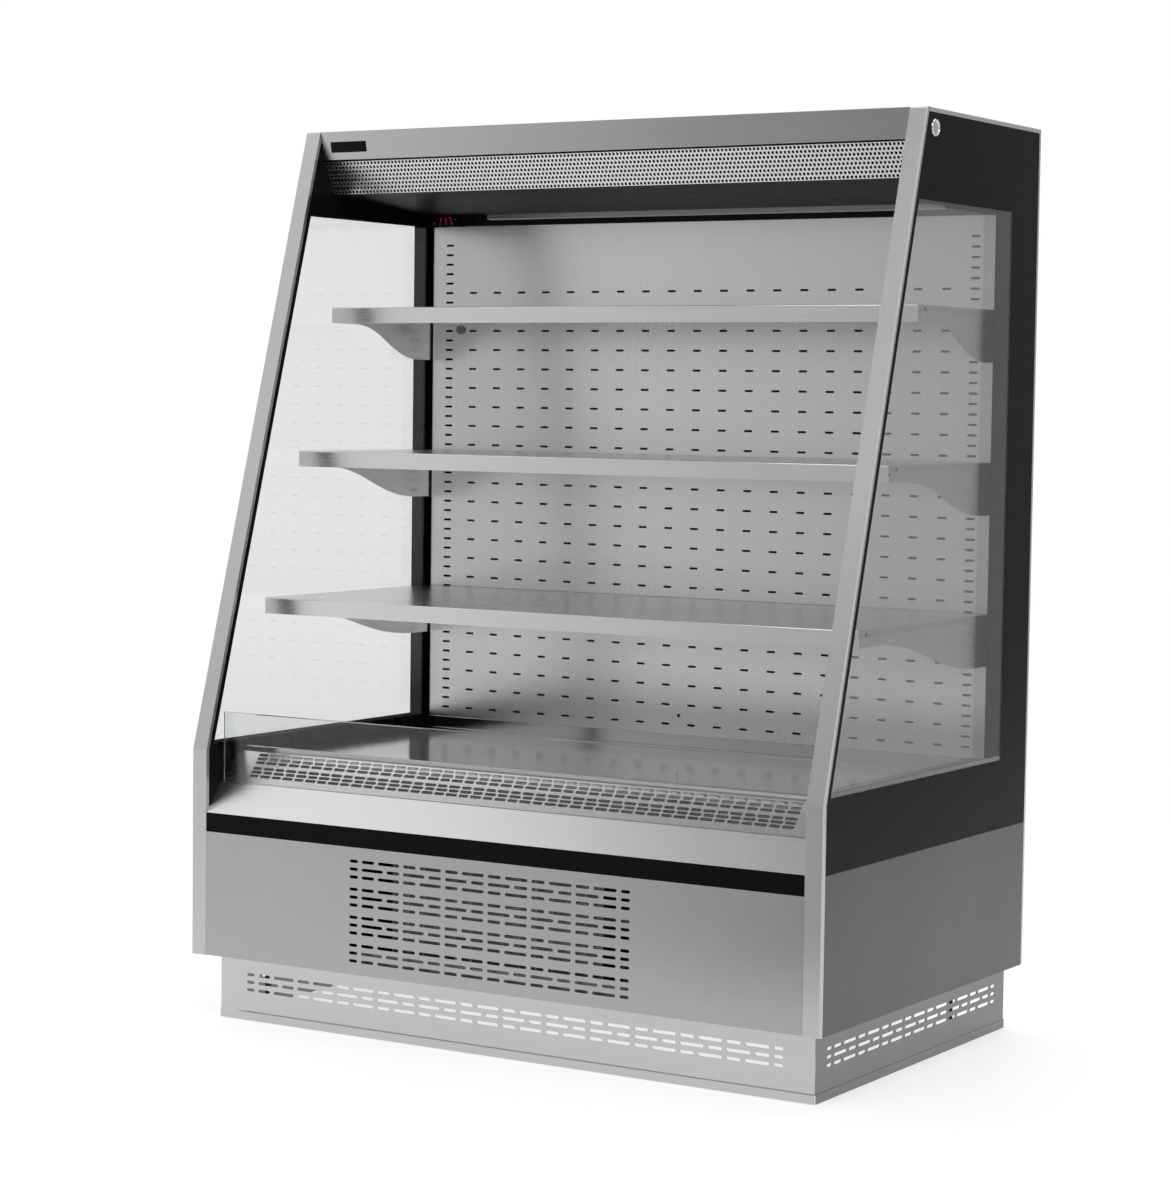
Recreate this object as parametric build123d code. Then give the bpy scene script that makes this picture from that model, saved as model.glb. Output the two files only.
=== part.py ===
from build123d import *
import math
import os

# Open multideck display fridge: a free-standing, self-contained case with sloping glazed ends,
# three lift-off shelves over a lift-out deck, a slotted air curtain return behind a clear guard,
# and the condensing unit behind a punched front panel.
# Millimetres, +Z up, +Y to the rear, +X to the right of someone facing the case.
# The origin is on the floor, under the middle of the case.

# ---- Case -----------------------------------------------------------------------------------
case_width = 1310.0
case_depth = 814.0
case_height = 1660.0
end_thickness = 33.5        # each insulated or double-glazed end
knee_height = 505.0         # the front edge of an end is upright below this and leans above it
top_setback = 334.0         # how far the top front edge stands behind the bottom one
base_height = 123.0         # underside of the case body, above the plinth
machine_height = 231.0      # from the base to the insulated tub
insulation = 40.0           # foamed walls, roof and tub floor
skin = 1.0                  # inner and outer skins of foamed panels
sheet = 1.2                 # folded steel panels
plate = 2.0                 # pressed load-carrying steel
seam = 0.3                  # gap between pieces that seat on each other
over = 1.0                  # how far a cutter runs past the face it cuts

# ---- Front and rear edges of the ends ---------------------------------------------------------
trim_depth = 8.0
trim_wall = 1.5
trim_corner = 2.5
edge_cap = 8.0
frame_wall = 2.0
window_border = 11.0        # black border between the trim and the window
window_above_knee = 10.0
window_below_top = 157.0
window_rear = 122.0         # from the rear of the case
pane = 4.0
band_height = 35.0          # black band between the machine space and the bumper
plug_radius = 15.0
plug_height = 3.0
plug_behind_edge = 31.0
plug_below_top = 34.0

# ---- Plinth and feet --------------------------------------------------------------------------
plinth_setback = 48.4
plinth_inset = 33.0
plinth_flange = 20.0
plinth_toe = 18.0
toe_step = 2.0
floor_gap = 1.0
foot_radius = 25.0
foot_pad = 12.0
stem_radius = 6.0
running_gap = 0.05
foot_inset_x = 95.0
foot_inset_y = 110.0
nut_height = 12.0
nut_radius = 16.0
foot_travel = 20.0
tray_wall = 40.0            # upturned edges of the base tray

# ---- Punched panels ---------------------------------------------------------------------------
slot_height = 5.0
slot_length = 171.5
slot_gap = 8.5
row_pitch = 14.3
group_pitch = 50.0
louver_slots = 3
louver_groups = 4
louver_bottom_row = 149.0
panel_return = 12.0
panel_foot_gap = 1.0        # between the front panel and the underside of the body
plinth_margin = 12.0        # plain border beside the slots
plinth_bottom_row = 58.0

# ---- Front band, bumper, guard and air return ---------------------------------------------------
band_thickness = 3.0
bumper_rise = 53.5
bumper_run = 43.0
bumper_lip = 12.0
bumper_ledge = 2.2          # flat stretch between the bumper and the guard
guard_thickness = 5.0
guard_height = 142.0
guard_inset = 3.5           # side clearance of the guard
channel_depth = 12.5
tub_lip = 8.0               # foamed front wall behind the foot of the air return
grille_rise = 53.0
grille_run = 44.0
grille_flat = 12.0
grille_drop = 12.0
grille_margin = 35.0
grille_slot = 277.0
grille_slot_pitch = 285.0
grille_slot_height = 6.2
grille_row_pitch = 8.4
grille_group_pitch = 29.5
grille_lower_row = 16.2

# ---- Deck -------------------------------------------------------------------------------------
deck_drop = 6.0             # deck surface below the top of the air return
deck_lip_height = 15.0
deck_lip_width = 4.0
deck_lip_bevel = 1.5
deck_lip_foot = 6.0
deck_clearance = 1.0        # between the deck's lip and the air return in front of it
deck_upstand = 23.0
deck_side_gap = 2.0
rail_width = 22.0
rail_setback = 70.0         # rear end of the rails, ahead of the rear wall

# ---- Back panel, uprights and shelves ----------------------------------------------------------
back_setback = 108.0        # front of the back panel, from the rear of the case
back_below_top = 141.0
back_below_deck = 20.0
back_margin = 60.0          # plain border beside the slot field
back_side_gap = 9.0
back_slot_length = 18.0
back_slot_height = 4.2
back_slot_pitch_x = 172.2
back_slot_pitch_z = 114.6
back_slot_below = 148.0     # topmost row, below the panel's top
back_slot_above = 35.0      # where the rows end, above the deck
edge_column_inset = 38.4
edge_slot_below = 54.0
edge_slot_pitch = 114.6
upright_web = 15.0
upright_slot_width = 5.0
upright_slot_height = 12.0
upright_slot_pitch = 25.0
upright_foot = 38.4         # lowest slot above the deck
upright_slot_inset = 3.3    # centre of the slots, from the end's inner face
shelf_slot_numbers = (9, 20, 31)
shelf_depth = 530.0         # of the lowest shelf
shelf_step = 102.0          # by which each shelf is shallower than the one below it
shelf_names = ("bottom", "middle", "top")
shelf_over_slot = 25.0      # top of a shelf above the slot of its upper hook
shelf_rear_gap = 6.0
shelf_side_gap = 1.8
shelf_lip = 30.0
shelf_lip_return = 12.0
shelf_rear_fold = 15.0
shelf_flange = 12.0
shelf_corner = 1.8
bracket_height = 95.0
bracket_flat = 70.0         # straight stretch of the lower edge, behind the shelf's front
bracket_toe = 45.0          # straight stretch of the lower edge at the upright
bracket_curve = 0.45        # how fully the lower edge curves between its two straight ends
bracket_ledge = 14.0
hook_neck = 7.0
hook_tooth = 4.0
hook_reach = 4.0
hook_spacing = 2            # slots between the two hooks of a bracket

# ---- Canopy -----------------------------------------------------------------------------------
fascia_height = 53.0
fascia_run = 11.0
fascia_flange = 46.0
fascia_return = 5.0
outlet_gap = 3.0            # between the fascia and the outlet grille
outlet_drop = 59.0
outlet_run = 29.0
outlet_slots = 12
outlet_rows = 2
outlet_slot_height = 14.0
outlet_slot_gap = 15.0
ceiling_rise = 25.0         # the ceiling falls by this much from its front to its rear
ceiling_upstand = 11.0
lamp_left = 150.2           # plain ceiling beside each end of the lamp
lamp_right = 101.2
lamp_width = 14.0
lamp_height = 9.0
lamp_wall = 1.0
drop_setback = 6.0          # front of the ceiling's drop strip, ahead of the back panel
drop_height = 20.0
badge_length = 80.0
badge_height = 20.0
badge_thickness = 2.0
badge_inset = 22.5
badge_drop = 29.0           # middle of the badge below the top of the case
controller_width = 80.0
controller_height = 20.5
controller_depth = 8.0
controller_overhang = 1.0   # below the drop strip
display_inset = 24.0
display_width = 36.0
display_height = 9.5
display_rise = 10.0
display_depth = 1.0
display_gap = 0.1
key_count = 4
key_width = 8.0
key_height = 5.0
key_pitch = 14.0
key_rise = 2.5
key_proud = 1.2
key_depth = 1.5
key_travel = 0.8
key_gap = 0.3
probe_radius = 9.0
probe_depth = 6.0
probe_inset = 76.5
probe_drop = 225.0          # below the back panel's top

# ---- Refrigeration ----------------------------------------------------------------------------
coil_width = 440.0
coil_depth = 66.0
coil_height = 200.0
coil_setback = 30.0
coil_fins = 14
fin = 1.0
fan_radius = 86.0
fan_hub = 30.0
fan_blades = 4
fan_chord = 46.0
fan_depth = 28.0
fan_pitch = 32.0
blade = 1.6
blade_root = 2.0            # length of a blade inside the hub
fan_gap = 6.0
motor_width = 62.0
motor_length = 48.0
shaft_radius = 4.0
arm_width = 20.0
compressor_radius = 72.0
compressor_height = 178.0
shell_crown = 0.72          # radius of the flat top, as a share of the shell's
shell_shoulder = 0.78       # where the shell starts to close, as a share of its height
compressor_gap = 72.0       # between the condenser and the compressor's shell
compressor_y = -60.0
mount_height = 14.0
mount_width = 14.0
foot_overhang = 8.0
foot_width = 100.0
box_width = 190.0
box_depth = 110.0
box_height = 130.0
lid_rim = 3.0
lid_depth = 4.0
box_gap = 60.0
box_y = 60.0
drain_width = 240.0
drain_depth = 260.0
drain_height = 30.0
drain_x = -60.0
drain_y = 200.0
pipe_radius = 5.0
discharge_height = 140.0
suction_height = 85.0
suction_run = 80.0
drier_radius = 14.0
drier_length = 60.0
evaporator_side = 127.0     # clear space beside each end of the evaporator
evaporator_depth = 230.0
evaporator_height = 76.0
evaporator_rear_gap = 120.0
evaporator_fins = 14
small_fan_radius = 38.0
small_fan_gap = 4.0
small_fan_hub = 15.0
small_motor_width = 28.0
small_fan_chord = 20.0
small_fan_depth = 13.0
small_fan_spacing = 520.0
small_motor_length = 26.0
fan_plate_setback = 230.0
service_slot = 60.0
service_slots = 6
service_rows = 2

# ---- Places worked out from the sizes above -----------------------------------------------------
half = case_width / 2
front = -case_depth / 2
rear = case_depth / 2
inner = half - end_thickness
body_half = inner - seam
lean = top_setback / (case_height - knee_height)
window_bottom = knee_height + window_above_knee
window_top = case_height - window_below_top
machine_top = base_height + machine_height
panel_top = machine_top + band_height
tub_floor = machine_top + insulation
wall_front = rear - insulation
back_front = rear - back_setback
back_top = case_height - back_below_top
upright_front = back_front + sheet + seam
bumper_top = panel_top + bumper_rise
channel_front = front + bumper_run + bumper_ledge
channel_rear = channel_front + guard_thickness + 2 * seam
channel_floor = bumper_top - channel_depth
grille_front = channel_rear + sheet + 2 * seam
grille_top = bumper_top + seam + grille_rise
deck_height = grille_top - deck_drop
deck_front = grille_front + grille_run + grille_flat + deck_clearance
deck_rear = back_front - seam - sheet
drop_front = back_front - drop_setback
outlet_top = case_height - fascia_height - outlet_gap
outlet_bottom = outlet_top - outlet_drop
outlet_front = front + top_setback + fascia_run + fascia_return + 2 * sheet
ceiling_front = outlet_front + outlet_run + sheet + 2 * seam
ceiling_rear = outlet_bottom - ceiling_rise
drop_bottom = ceiling_rear - drop_height
controller_bottom = drop_bottom - controller_overhang
base_front = front + panel_return + 2 * sheet
base_rear = rear - sheet - seam
compressor_x = coil_width / 2 + compressor_gap + compressor_radius
box_x = -coil_width / 2 - box_gap - box_width / 2


def block(x0, x1, y0, y1, z0, z1):
    """A rectangular solid between two corners."""
    place = Pos((x0 + x1) / 2, (y0 + y1) / 2, (z0 + z1) / 2)
    return place * Box(x1 - x0, y1 - y0, z1 - z0)


def along_x(points, x0, x1):
    """An outline of (y, z) points, extruded from x0 to x1."""
    face = make_face(Polyline(*[(x0, y, z) for y, z in points], close=True))
    return extrude(face, amount=x1 - x0, dir=(1, 0, 0))


def along_y(points, y0, y1):
    """An outline of (x, z) points, extruded from y0 to y1."""
    face = make_face(Polyline(*[(x, y0, z) for x, z in points], close=True))
    return extrude(face, amount=y1 - y0, dir=(0, 1, 0))


def folded(points, thickness):
    """The outline of a folded sheet, whose thickness lies to the right of the line of points."""
    offset = []
    for i, (a, b) in enumerate(points):
        before = points[max(i - 1, 0)]
        after = points[min(i + 1, len(points) - 1)]
        normals = []
        for start, end in ((before, (a, b)), ((a, b), after)):
            du, dv = end[0] - start[0], end[1] - start[1]
            length = math.hypot(du, dv)
            if length:
                normals.append((dv / length, -du / length))
        nu = sum(n[0] for n in normals)
        nv = sum(n[1] for n in normals)
        scale = thickness * len(normals) / (nu * nu + nv * nv)
        offset.append((a + nu * scale, b + nv * scale))
    return list(points) + offset[::-1]


def cavity_x(points, x0, x1, wall):
    """The space inside a skin of the given thickness, for an outline extruded from x0 to x1."""
    face = make_face(Polyline(*[(x0 + wall, y, z) for y, z in points], close=True))
    room = offset(face, amount=-wall, kind=Kind.INTERSECTION)
    return extrude(room, amount=x1 - x0 - 2 * wall, dir=(1, 0, 0))


def mirrored(shape):
    return mirror(shape, about=Plane.YZ)


def both(shape):
    """A piece and its mirror image, as two separate solids."""
    return Compound(children=[*shape.solids(), *mirrored(shape).solids()])


def edge_y(z):
    """Where the front edge of an end lies at height z."""
    return front + max(0.0, z - knee_height) * lean


# ---- Punching -----------------------------------------------------------------------------------

def even_row(count, length, pitch):
    return [((i - (count - 1) / 2) * pitch, length) for i in range(count)]


def fit(width, margin, length, pitch):
    """How many openings of one length fit on a pitch between two plain margins."""
    return int((width - 2 * margin - length) / pitch) + 1


def cutters_y(row, z, height, y0, y1):
    """Slot cutters along X for a panel that faces the front or the rear."""
    return [
        block(x - length / 2, x + length / 2, y0, y1, z - height / 2, z + height / 2)
        for x, length in row
    ]


# ---- Base ---------------------------------------------------------------------------------------
def foot_places():
    x = half - foot_inset_x
    return [(sx * x, y) for y in (front + foot_inset_y, rear - foot_inset_y) for sx in (-1, 1)]


def base_frame():
    """Pressed base tray with upturned edges and a hexagonal weld nut under it for each foot."""
    z0 = base_height
    tray = block(-body_half, body_half, base_front, base_rear, z0, z0 + tray_wall)
    tray -= block(
        plate - body_half, body_half - plate, base_front + plate, base_rear - plate,
        z0 + plate, z0 + tray_wall + plate,
    )
    for x, y in foot_places():
        nut = Pos(x, y, z0 - nut_height) * RegularPolygon(nut_radius, 6)
        tray += extrude(nut, amount=nut_height)
        hole = Cylinder(stem_radius + running_gap, nut_height + 3 * plate)
        tray -= Pos(x, y, z0 - nut_height / 2) * hole
    return tray


def levelling_feet():
    """Four screw feet: a hexagonal pad and a stem up through the base tray."""
    top = base_height + plate + foot_travel
    feet = []
    for x, y in foot_places():
        foot = extrude(Pos(x, y, 0) * RegularPolygon(foot_radius, 6), amount=foot_pad)
        foot += Pos(x, y, (foot_pad + top) / 2) * Cylinder(stem_radius, top - foot_pad)
        feet.append(foot.solid())
    return Compound(children=feet)


def plinth_front():
    x = half - plinth_inset
    y = front + plinth_setback
    panel = along_x(folded([
        (y - toe_step, floor_gap),
        (y - toe_step, plinth_toe - toe_step),
        (y, plinth_toe),
        (y, base_height),
        (y + plinth_flange, base_height),
    ], sheet), -x, x)
    count = fit(2 * x, plinth_margin, slot_length, slot_length + slot_gap)
    cuts = []
    for row in range(3):
        cells = even_row(count, slot_length, slot_length + slot_gap)
        z = plinth_bottom_row + row * row_pitch
        cuts += cutters_y(cells, z, slot_height, y - sheet, y + 2 * sheet)
    return panel - cuts


def plinth_side():
    """The right-hand plinth panel, which butts against the back of the front one."""
    x = half - plinth_inset
    y0 = front + plinth_setback + plinth_flange + seam
    y1 = rear - edge_cap
    panel = along_y(folded([
        (x - plinth_flange, base_height),
        (x, base_height),
        (x, plinth_toe),
        (x + toe_step, plinth_toe - toe_step),
        (x + toe_step, floor_gap),
    ], sheet), y0, y1)
    fill = plinth_flange - sheet
    panel += block(x - sheet, x, y0 - fill, y0, floor_gap, base_height - sheet - seam)
    count = fit(y1 - y0, plinth_margin, slot_length, slot_length + slot_gap)
    cuts = []
    middle = (y0 + y1) / 2 - fill / 2
    for row in range(3):
        z = plinth_bottom_row + row * row_pitch
        for y, length in even_row(count, slot_length, slot_length + slot_gap):
            cuts.append(block(
                x - 2 * sheet, x + sheet, middle + y - length / 2, middle + y + length / 2,
                z - slot_height / 2, z + slot_height / 2,
            ))
    return panel - cuts


# ---- Body ---------------------------------------------------------------------------------------
def insulated_tub():
    """Foamed floor of the cold space, whose front wall carries the bumper and the guard."""
    slope = bumper_rise / bumper_run
    length = math.hypot(bumper_rise, bumper_run)
    gap = sheet + seam
    face = front + band_thickness + seam
    ledge = face + bumper_lip
    start_y = front + gap * bumper_rise / length
    start_z = panel_top - gap * bumper_run / length
    wall_top = channel_floor - sheet - seam
    outline = [
        (face, machine_top),
        (wall_front, machine_top),
        (wall_front, tub_floor),
        (grille_front + tub_lip, tub_floor),
        (grille_front + tub_lip, wall_top),
        (start_y + (wall_top - start_z) / slope, wall_top),
        (ledge, start_z + (ledge - start_y) * slope),
        (ledge, panel_top - seam),
        (face, panel_top - seam),
    ]
    tub = along_x(outline, -body_half, body_half)
    tub -= cavity_x(outline, -body_half, body_half, skin)
    return tub - block(
        skin - body_half, body_half - skin, wall_front - 2 * skin, wall_front + skin,
        machine_top + skin, tub_floor - skin,
    )


def rear_wall():
    """Foamed rear wall; its cavity opens at the foot."""
    wall = block(-body_half, body_half, wall_front, rear, machine_top, case_height)
    return wall - block(
        skin - body_half, body_half - skin, wall_front + skin, rear - skin,
        machine_top - skin, case_height - skin,
    )


def roof_panel():
    """Foamed roof between the ends; its cavity opens at the front, behind the fascia."""
    top = case_height - sheet - seam
    low = case_height - insulation
    slope = fascia_run / fascia_height
    y = edge_y(case_height) + sheet + 2 * seam
    outline = [
        (y, top),
        (wall_front, top),
        (wall_front, low),
        (y + (top - low) * slope, low),
    ]
    roof = along_x(outline, -body_half, body_half)
    return roof - block(
        skin - body_half, body_half - skin, y - skin, wall_front - skin, low + skin, top - skin
    )


def machine_back():
    """Slotted cover over the rear of the machine space."""
    z0 = base_height + plate
    panel = block(-body_half, body_half, rear - sheet, rear, z0, machine_top - seam)
    cuts = []
    for row in range(service_rows):
        cells = even_row(service_slots, service_slot, 2 * service_slot)
        z = base_height + machine_height * (row + 1) / (service_rows + 1)
        cuts += cutters_y(cells, z, 2 * slot_height, rear - 2 * sheet, rear + sheet)
    return panel - cuts


# ---- Ends -----------------------------------------------------------------------------------------
def front_trim():
    """Hollow trim over the whole front edge of the right-hand end."""
    def line(shift, low, high):
        return [
            (front + shift, low),
            (front + shift, knee_height),
            (edge_y(high) + shift, high),
        ]
    outline = line(0, base_height, case_height) + line(trim_depth, base_height, case_height)[::-1]
    bar = along_x(outline, inner, half)
    corner = bar.edges().filter_by(Plane.YZ).group_by(Axis.X)[-1].filter_by(
        lambda e: e.center().Y < edge_y(e.center().Z) + trim_depth / 3 and e.length > end_thickness
    )
    bar = chamfer(corner, trim_corner)
    top_edge = bar.edges().filter_by(Axis.X).group_by(Axis.Z)[-1].sort_by(Axis.Y)[0]
    bar = chamfer(top_edge, trim_corner)
    end = case_height - 3 * trim_wall
    core = line(trim_wall, base_height - over, end) + line(
        trim_depth - trim_wall, base_height - over, end
    )[::-1]
    return bar - along_x(core, inner + trim_wall, half - trim_corner)


def side_panel():
    """Foamed steel panel at the foot of the right-hand end; its cavity opens under the frame."""
    y0 = front + trim_depth
    y1 = rear - edge_cap
    panel = block(inner, half, y0, y1, base_height, panel_top)
    return panel - block(
        inner + skin, half - skin, y0 + skin, y1 - skin, base_height + skin, panel_top + skin
    )


def window_outline():
    shift = trim_depth + window_border
    return [
        (edge_y(window_bottom) + shift, window_bottom),
        (edge_y(window_top) + shift, window_top),
        (rear - window_rear, window_top),
        (rear - window_rear, window_bottom),
    ]


def side_frame():
    """Black hollow frame round the right-hand end's glazing, open towards the panel below."""
    top = case_height - edge_cap
    y0 = front + trim_depth
    y1 = rear - edge_cap
    outline = [
        (y0, panel_top),
        (y0, knee_height),
        (edge_y(top) + trim_depth, top),
        (y1, top),
        (y1, panel_top),
    ]
    window = along_x(window_outline(), inner - over, half + over)
    reveal = make_face(Polyline(*[(inner, y, z) for y, z in window_outline()], close=True))
    reveal = offset(reveal, amount=frame_wall, kind=Kind.INTERSECTION)
    core = cavity_x(outline, inner, half, frame_wall)
    core -= extrude(reveal, amount=end_thickness, dir=(1, 0, 0))
    mouth = block(
        inner + frame_wall, half - frame_wall, y0 + frame_wall, y1 - frame_wall,
        panel_top - frame_wall, panel_top + 2 * frame_wall,
    )
    return along_x(outline, inner, half) - window - core - mouth


def side_glass():
    """Two panes that close the window inside and outside."""
    outer = along_x(window_outline(), half - pane, half)
    return Compound(children=[
        outer.solid(), along_x(window_outline(), inner, inner + pane).solid()
    ])


def edge_caps():
    """Bright capping along the top and the rear of each end."""
    y0 = edge_y(case_height) + trim_depth
    outline = [
        (y0, case_height),
        (rear, case_height),
        (rear, base_height),
        (rear - edge_cap, base_height),
        (rear - edge_cap, case_height - edge_cap),
        (edge_y(case_height - edge_cap) + trim_depth, case_height - edge_cap),
    ]
    return both(along_x(outline, inner, half))


def side_plugs():
    """Cap over the fixing near the top of each end."""
    z = case_height - plug_below_top
    y = edge_y(z) + trim_depth + plug_behind_edge
    return both(Pos(half + plug_height / 2, y, z) * Rot(0, 90, 0) * Cylinder(plug_radius, plug_height))


# ---- Front ----------------------------------------------------------------------------------------
def louver_panel():
    """Pull-off front panel with the punched field in front of the condenser."""
    z0 = base_height + panel_foot_gap
    z1 = machine_top - seam
    depth = panel_return + sheet
    panel = block(-body_half, body_half, front, front + depth, z0, z1)
    panel -= block(
        sheet - body_half, body_half - sheet, front + sheet, front + depth + over,
        z0 + sheet, z1 - sheet,
    )
    cuts = []
    for group in range(louver_groups):
        for row in range(3):
            z = louver_bottom_row + group * group_pitch + row * row_pitch
            cells = even_row(louver_slots, slot_length, slot_length + slot_gap)
            cuts += cutters_y(cells, z, slot_height, front - over, front + 2 * sheet)
    return panel - cuts


def front_band():
    """Black strip between the front panel and the bumper."""
    return block(
        -body_half, body_half, front, front + band_thickness, machine_top, panel_top - seam
    )


def bumper_panel():
    """Sloping stainless bumper, whose top edge folds into the channel that holds the guard."""
    return along_x(folded([
        (front + bumper_lip, panel_top),
        (front, panel_top),
        (front + bumper_run, bumper_top),
        (channel_front, bumper_top),
        (channel_front, channel_floor),
        (channel_rear, channel_floor),
        (channel_rear, bumper_top),
    ], sheet), -body_half, body_half)


def glass_guard():
    """Clear guard that stands in the bumper's channel."""
    x = body_half - guard_inset
    y0 = channel_front + seam
    return block(-x, x, y0, y0 + guard_thickness, channel_floor, channel_floor + guard_height)


def grille_plane():
    length = math.hypot(grille_rise, grille_run)
    normal = (0, -grille_rise / length, grille_run / length)
    origin = (0, grille_front, grille_top - grille_rise)
    return Plane(origin=origin, x_dir=(1, 0, 0), z_dir=normal)


def return_grille():
    """Sloping slotted grille that takes the air curtain back in; it lifts out."""
    foot = channel_floor - sheet - seam
    y1 = grille_front + grille_run
    y2 = y1 + grille_flat
    panel = along_x(folded([
        (grille_front, foot),
        (grille_front, grille_top - grille_rise),
        (y1, grille_top),
        (y2, grille_top),
        (y2, grille_top - grille_drop),
    ], sheet), -body_half, body_half)
    plane = grille_plane()
    count = fit(2 * body_half, grille_margin, grille_slot, grille_slot_pitch)
    cuts = []
    for group in range(2):
        for row in range(3):
            v = grille_lower_row + group * grille_group_pitch + row * grille_row_pitch
            for x, length in even_row(count, grille_slot, grille_slot_pitch):
                cuts.append(plane * Pos(x, v, 0) * Box(length, grille_slot_height, 4 * sheet))
    return panel - cuts


# ---- Deck -----------------------------------------------------------------------------------------
def deck_tray():
    """Lift-out deck with a raised front lip and a rear upstand."""
    x = body_half - deck_side_gap
    lip_top = deck_height + deck_lip_height
    lip_rear = deck_front + deck_lip_width
    return along_x(folded([
        (deck_front, deck_height - deck_lip_foot),
        (deck_front, lip_top - deck_lip_bevel),
        (deck_front + deck_lip_bevel, lip_top),
        (lip_rear, lip_top),
        (lip_rear, deck_height),
        (deck_rear, deck_height),
        (deck_rear, deck_height + deck_upstand),
    ], sheet), -x, x)


def deck_support():
    """Angle rails along both ends and a cross rail under the deck's front lip."""
    top = deck_height - sheet
    y0 = deck_front + deck_lip_width + 2 * sheet
    y1 = wall_front - rail_setback
    rail = block(body_half - rail_width, body_half, y0, y1, top - plate, top)
    rail += block(body_half - plate, body_half, y0, y1, top - rail_width, top)
    cross_top = grille_top - grille_drop - seam
    beam_y = grille_front + grille_run
    beam = block(-body_half, body_half, beam_y, y0 + rail_width, cross_top - plate, cross_top)
    beam += block(-body_half, body_half, y0, y0 + plate, cross_top, top)
    return beam + rail + mirrored(rail)


# ---- Back panel and uprights ------------------------------------------------------------------------
def back_panel():
    """Slotted panel in front of the rear air duct, with a closer column of slots at each edge."""
    x = body_half - back_side_gap
    y1 = back_front + sheet
    low = deck_height + back_slot_above
    panel = block(-x, x, back_front, y1, deck_height - back_below_deck, back_top)
    count = fit(2 * x, back_margin, back_slot_length, back_slot_pitch_x)
    field = even_row(count, back_slot_length, back_slot_pitch_x)
    edges = even_row(2, back_slot_length, 2 * (x - edge_column_inset))
    cuts = []
    for row, top, pitch in (
        (field, back_top - back_slot_below, back_slot_pitch_z),
        (edges, back_top - edge_slot_below, edge_slot_pitch),
    ):
        for i in range(fit(top - low, 0, 0, pitch)):
            z = top - i * pitch
            cuts += cutters_y(row, z, back_slot_height, back_front - over, y1 + over)
    return panel - cuts


def slot_z(number):
    """Height of one slot of the uprights, counted from the lowest."""
    return deck_height + upright_foot + number * upright_slot_pitch


def uprights():
    """Slotted posts that carry the shelves, one at each end of the back panel."""
    y0 = upright_front
    x0 = body_half - upright_web
    z0 = tub_floor
    post = block(x0, body_half, y0, y0 + plate, z0, back_top)
    post += block(x0, x0 + plate, y0, wall_front, z0, back_top)
    post += block(x0 - upright_web, x0, wall_front - plate, wall_front, z0, back_top)
    x = inner - upright_slot_inset
    cuts = [
        block(
            x - upright_slot_width / 2, x + upright_slot_width / 2, y0 - over, y0 + plate + over,
            slot_z(i) - upright_slot_height / 2, slot_z(i) + upright_slot_height / 2,
        )
        for i in range(fit(back_top - slot_z(0), upright_slot_pitch / 2, 0, upright_slot_pitch))
    ]
    return both(post - cuts)


def probe():
    """Air temperature probe in its eight-sided holder, on the back panel."""
    place = Plane.XZ.offset(-back_front) * Pos(probe_inset - body_half, back_top - probe_drop)
    return extrude(place * RegularPolygon(probe_radius, 8), amount=probe_depth)


# ---- Shelves --------------------------------------------------------------------------------------
def shelf_top(index):
    return slot_z(shelf_slot_numbers[index]) + shelf_over_slot


def shelf_rear():
    return back_front - shelf_rear_gap


def shelf_front(index):
    """The front of a shelf; each one stands further back than the one below it."""
    return shelf_rear() - shelf_depth + index * shelf_step


def shelf_tray(index):
    """Folded tray with a deep front lip, a rear fold, and end flanges outside its brackets."""
    top = shelf_top(index)
    y0 = shelf_front(index)
    y1 = shelf_rear()
    x = inner - shelf_side_gap
    tray = along_x(folded([
        (y0 + shelf_lip_return, top - shelf_lip),
        (y0, top - shelf_lip),
        (y0, top),
        (y1, top),
    ], sheet), -x, x)
    nose = tray.edges().filter_by(Axis.X).group_by(Axis.Z)[-1].sort_by(Axis.Y)[0]
    tray = fillet(nose, shelf_corner)
    fold = x - sheet - seam - plate - bracket_ledge - 2 * seam
    tray += block(-fold, fold, y1 - sheet, y1, top - shelf_rear_fold, top)
    for x0 in (-x, x - sheet):
        tray += block(x0, x0 + sheet, y0 + sheet, y1 - sheet, top - shelf_flange, top - sheet / 2)
    return tray


def bracket_sheet(index):
    """The right-hand bracket: a plate with an S-curved lower edge, a ledge and two hooks."""
    top = shelf_top(index) - sheet
    y0 = shelf_front(index) + shelf_lip_return + sheet + 2 * seam
    y1 = upright_front - seam
    low = shelf_top(index) - bracket_height
    nose = shelf_top(index) - shelf_lip
    y_flat = shelf_front(index) + bracket_flat
    y_toe = y1 - bracket_toe
    pull = (y_toe - y_flat) * bracket_curve
    x1 = inner - shelf_side_gap - sheet - seam
    x0 = x1 - plate
    curve = Bezier(
        (x0, y_flat, nose), (x0, y_flat + pull, nose), (x0, y_toe - pull, low), (x0, y_toe, low)
    )
    lines = Polyline(
        (x0, y_toe, low), (x0, y1, low), (x0, y1, top), (x0, y0, top), (x0, y0, nose), (x0, y_flat, nose)
    )
    web = extrude(make_face(curve + lines), amount=plate, dir=(1, 0, 0))
    web += block(x0 - bracket_ledge, x0, y0, y1 - plate, top - plate, top)
    for step in (0, hook_spacing):
        z0 = slot_z(shelf_slot_numbers[index] - step) - upright_slot_height / 2
        y_in = upright_front + plate + seam
        web += block(x0, x1, y1, y_in + hook_reach, z0, z0 + hook_neck)
        web += block(x0, x1, y_in, y_in + hook_reach, z0 - hook_tooth, z0)
    return web


def shelf_brackets(index):
    return both(bracket_sheet(index))


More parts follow.
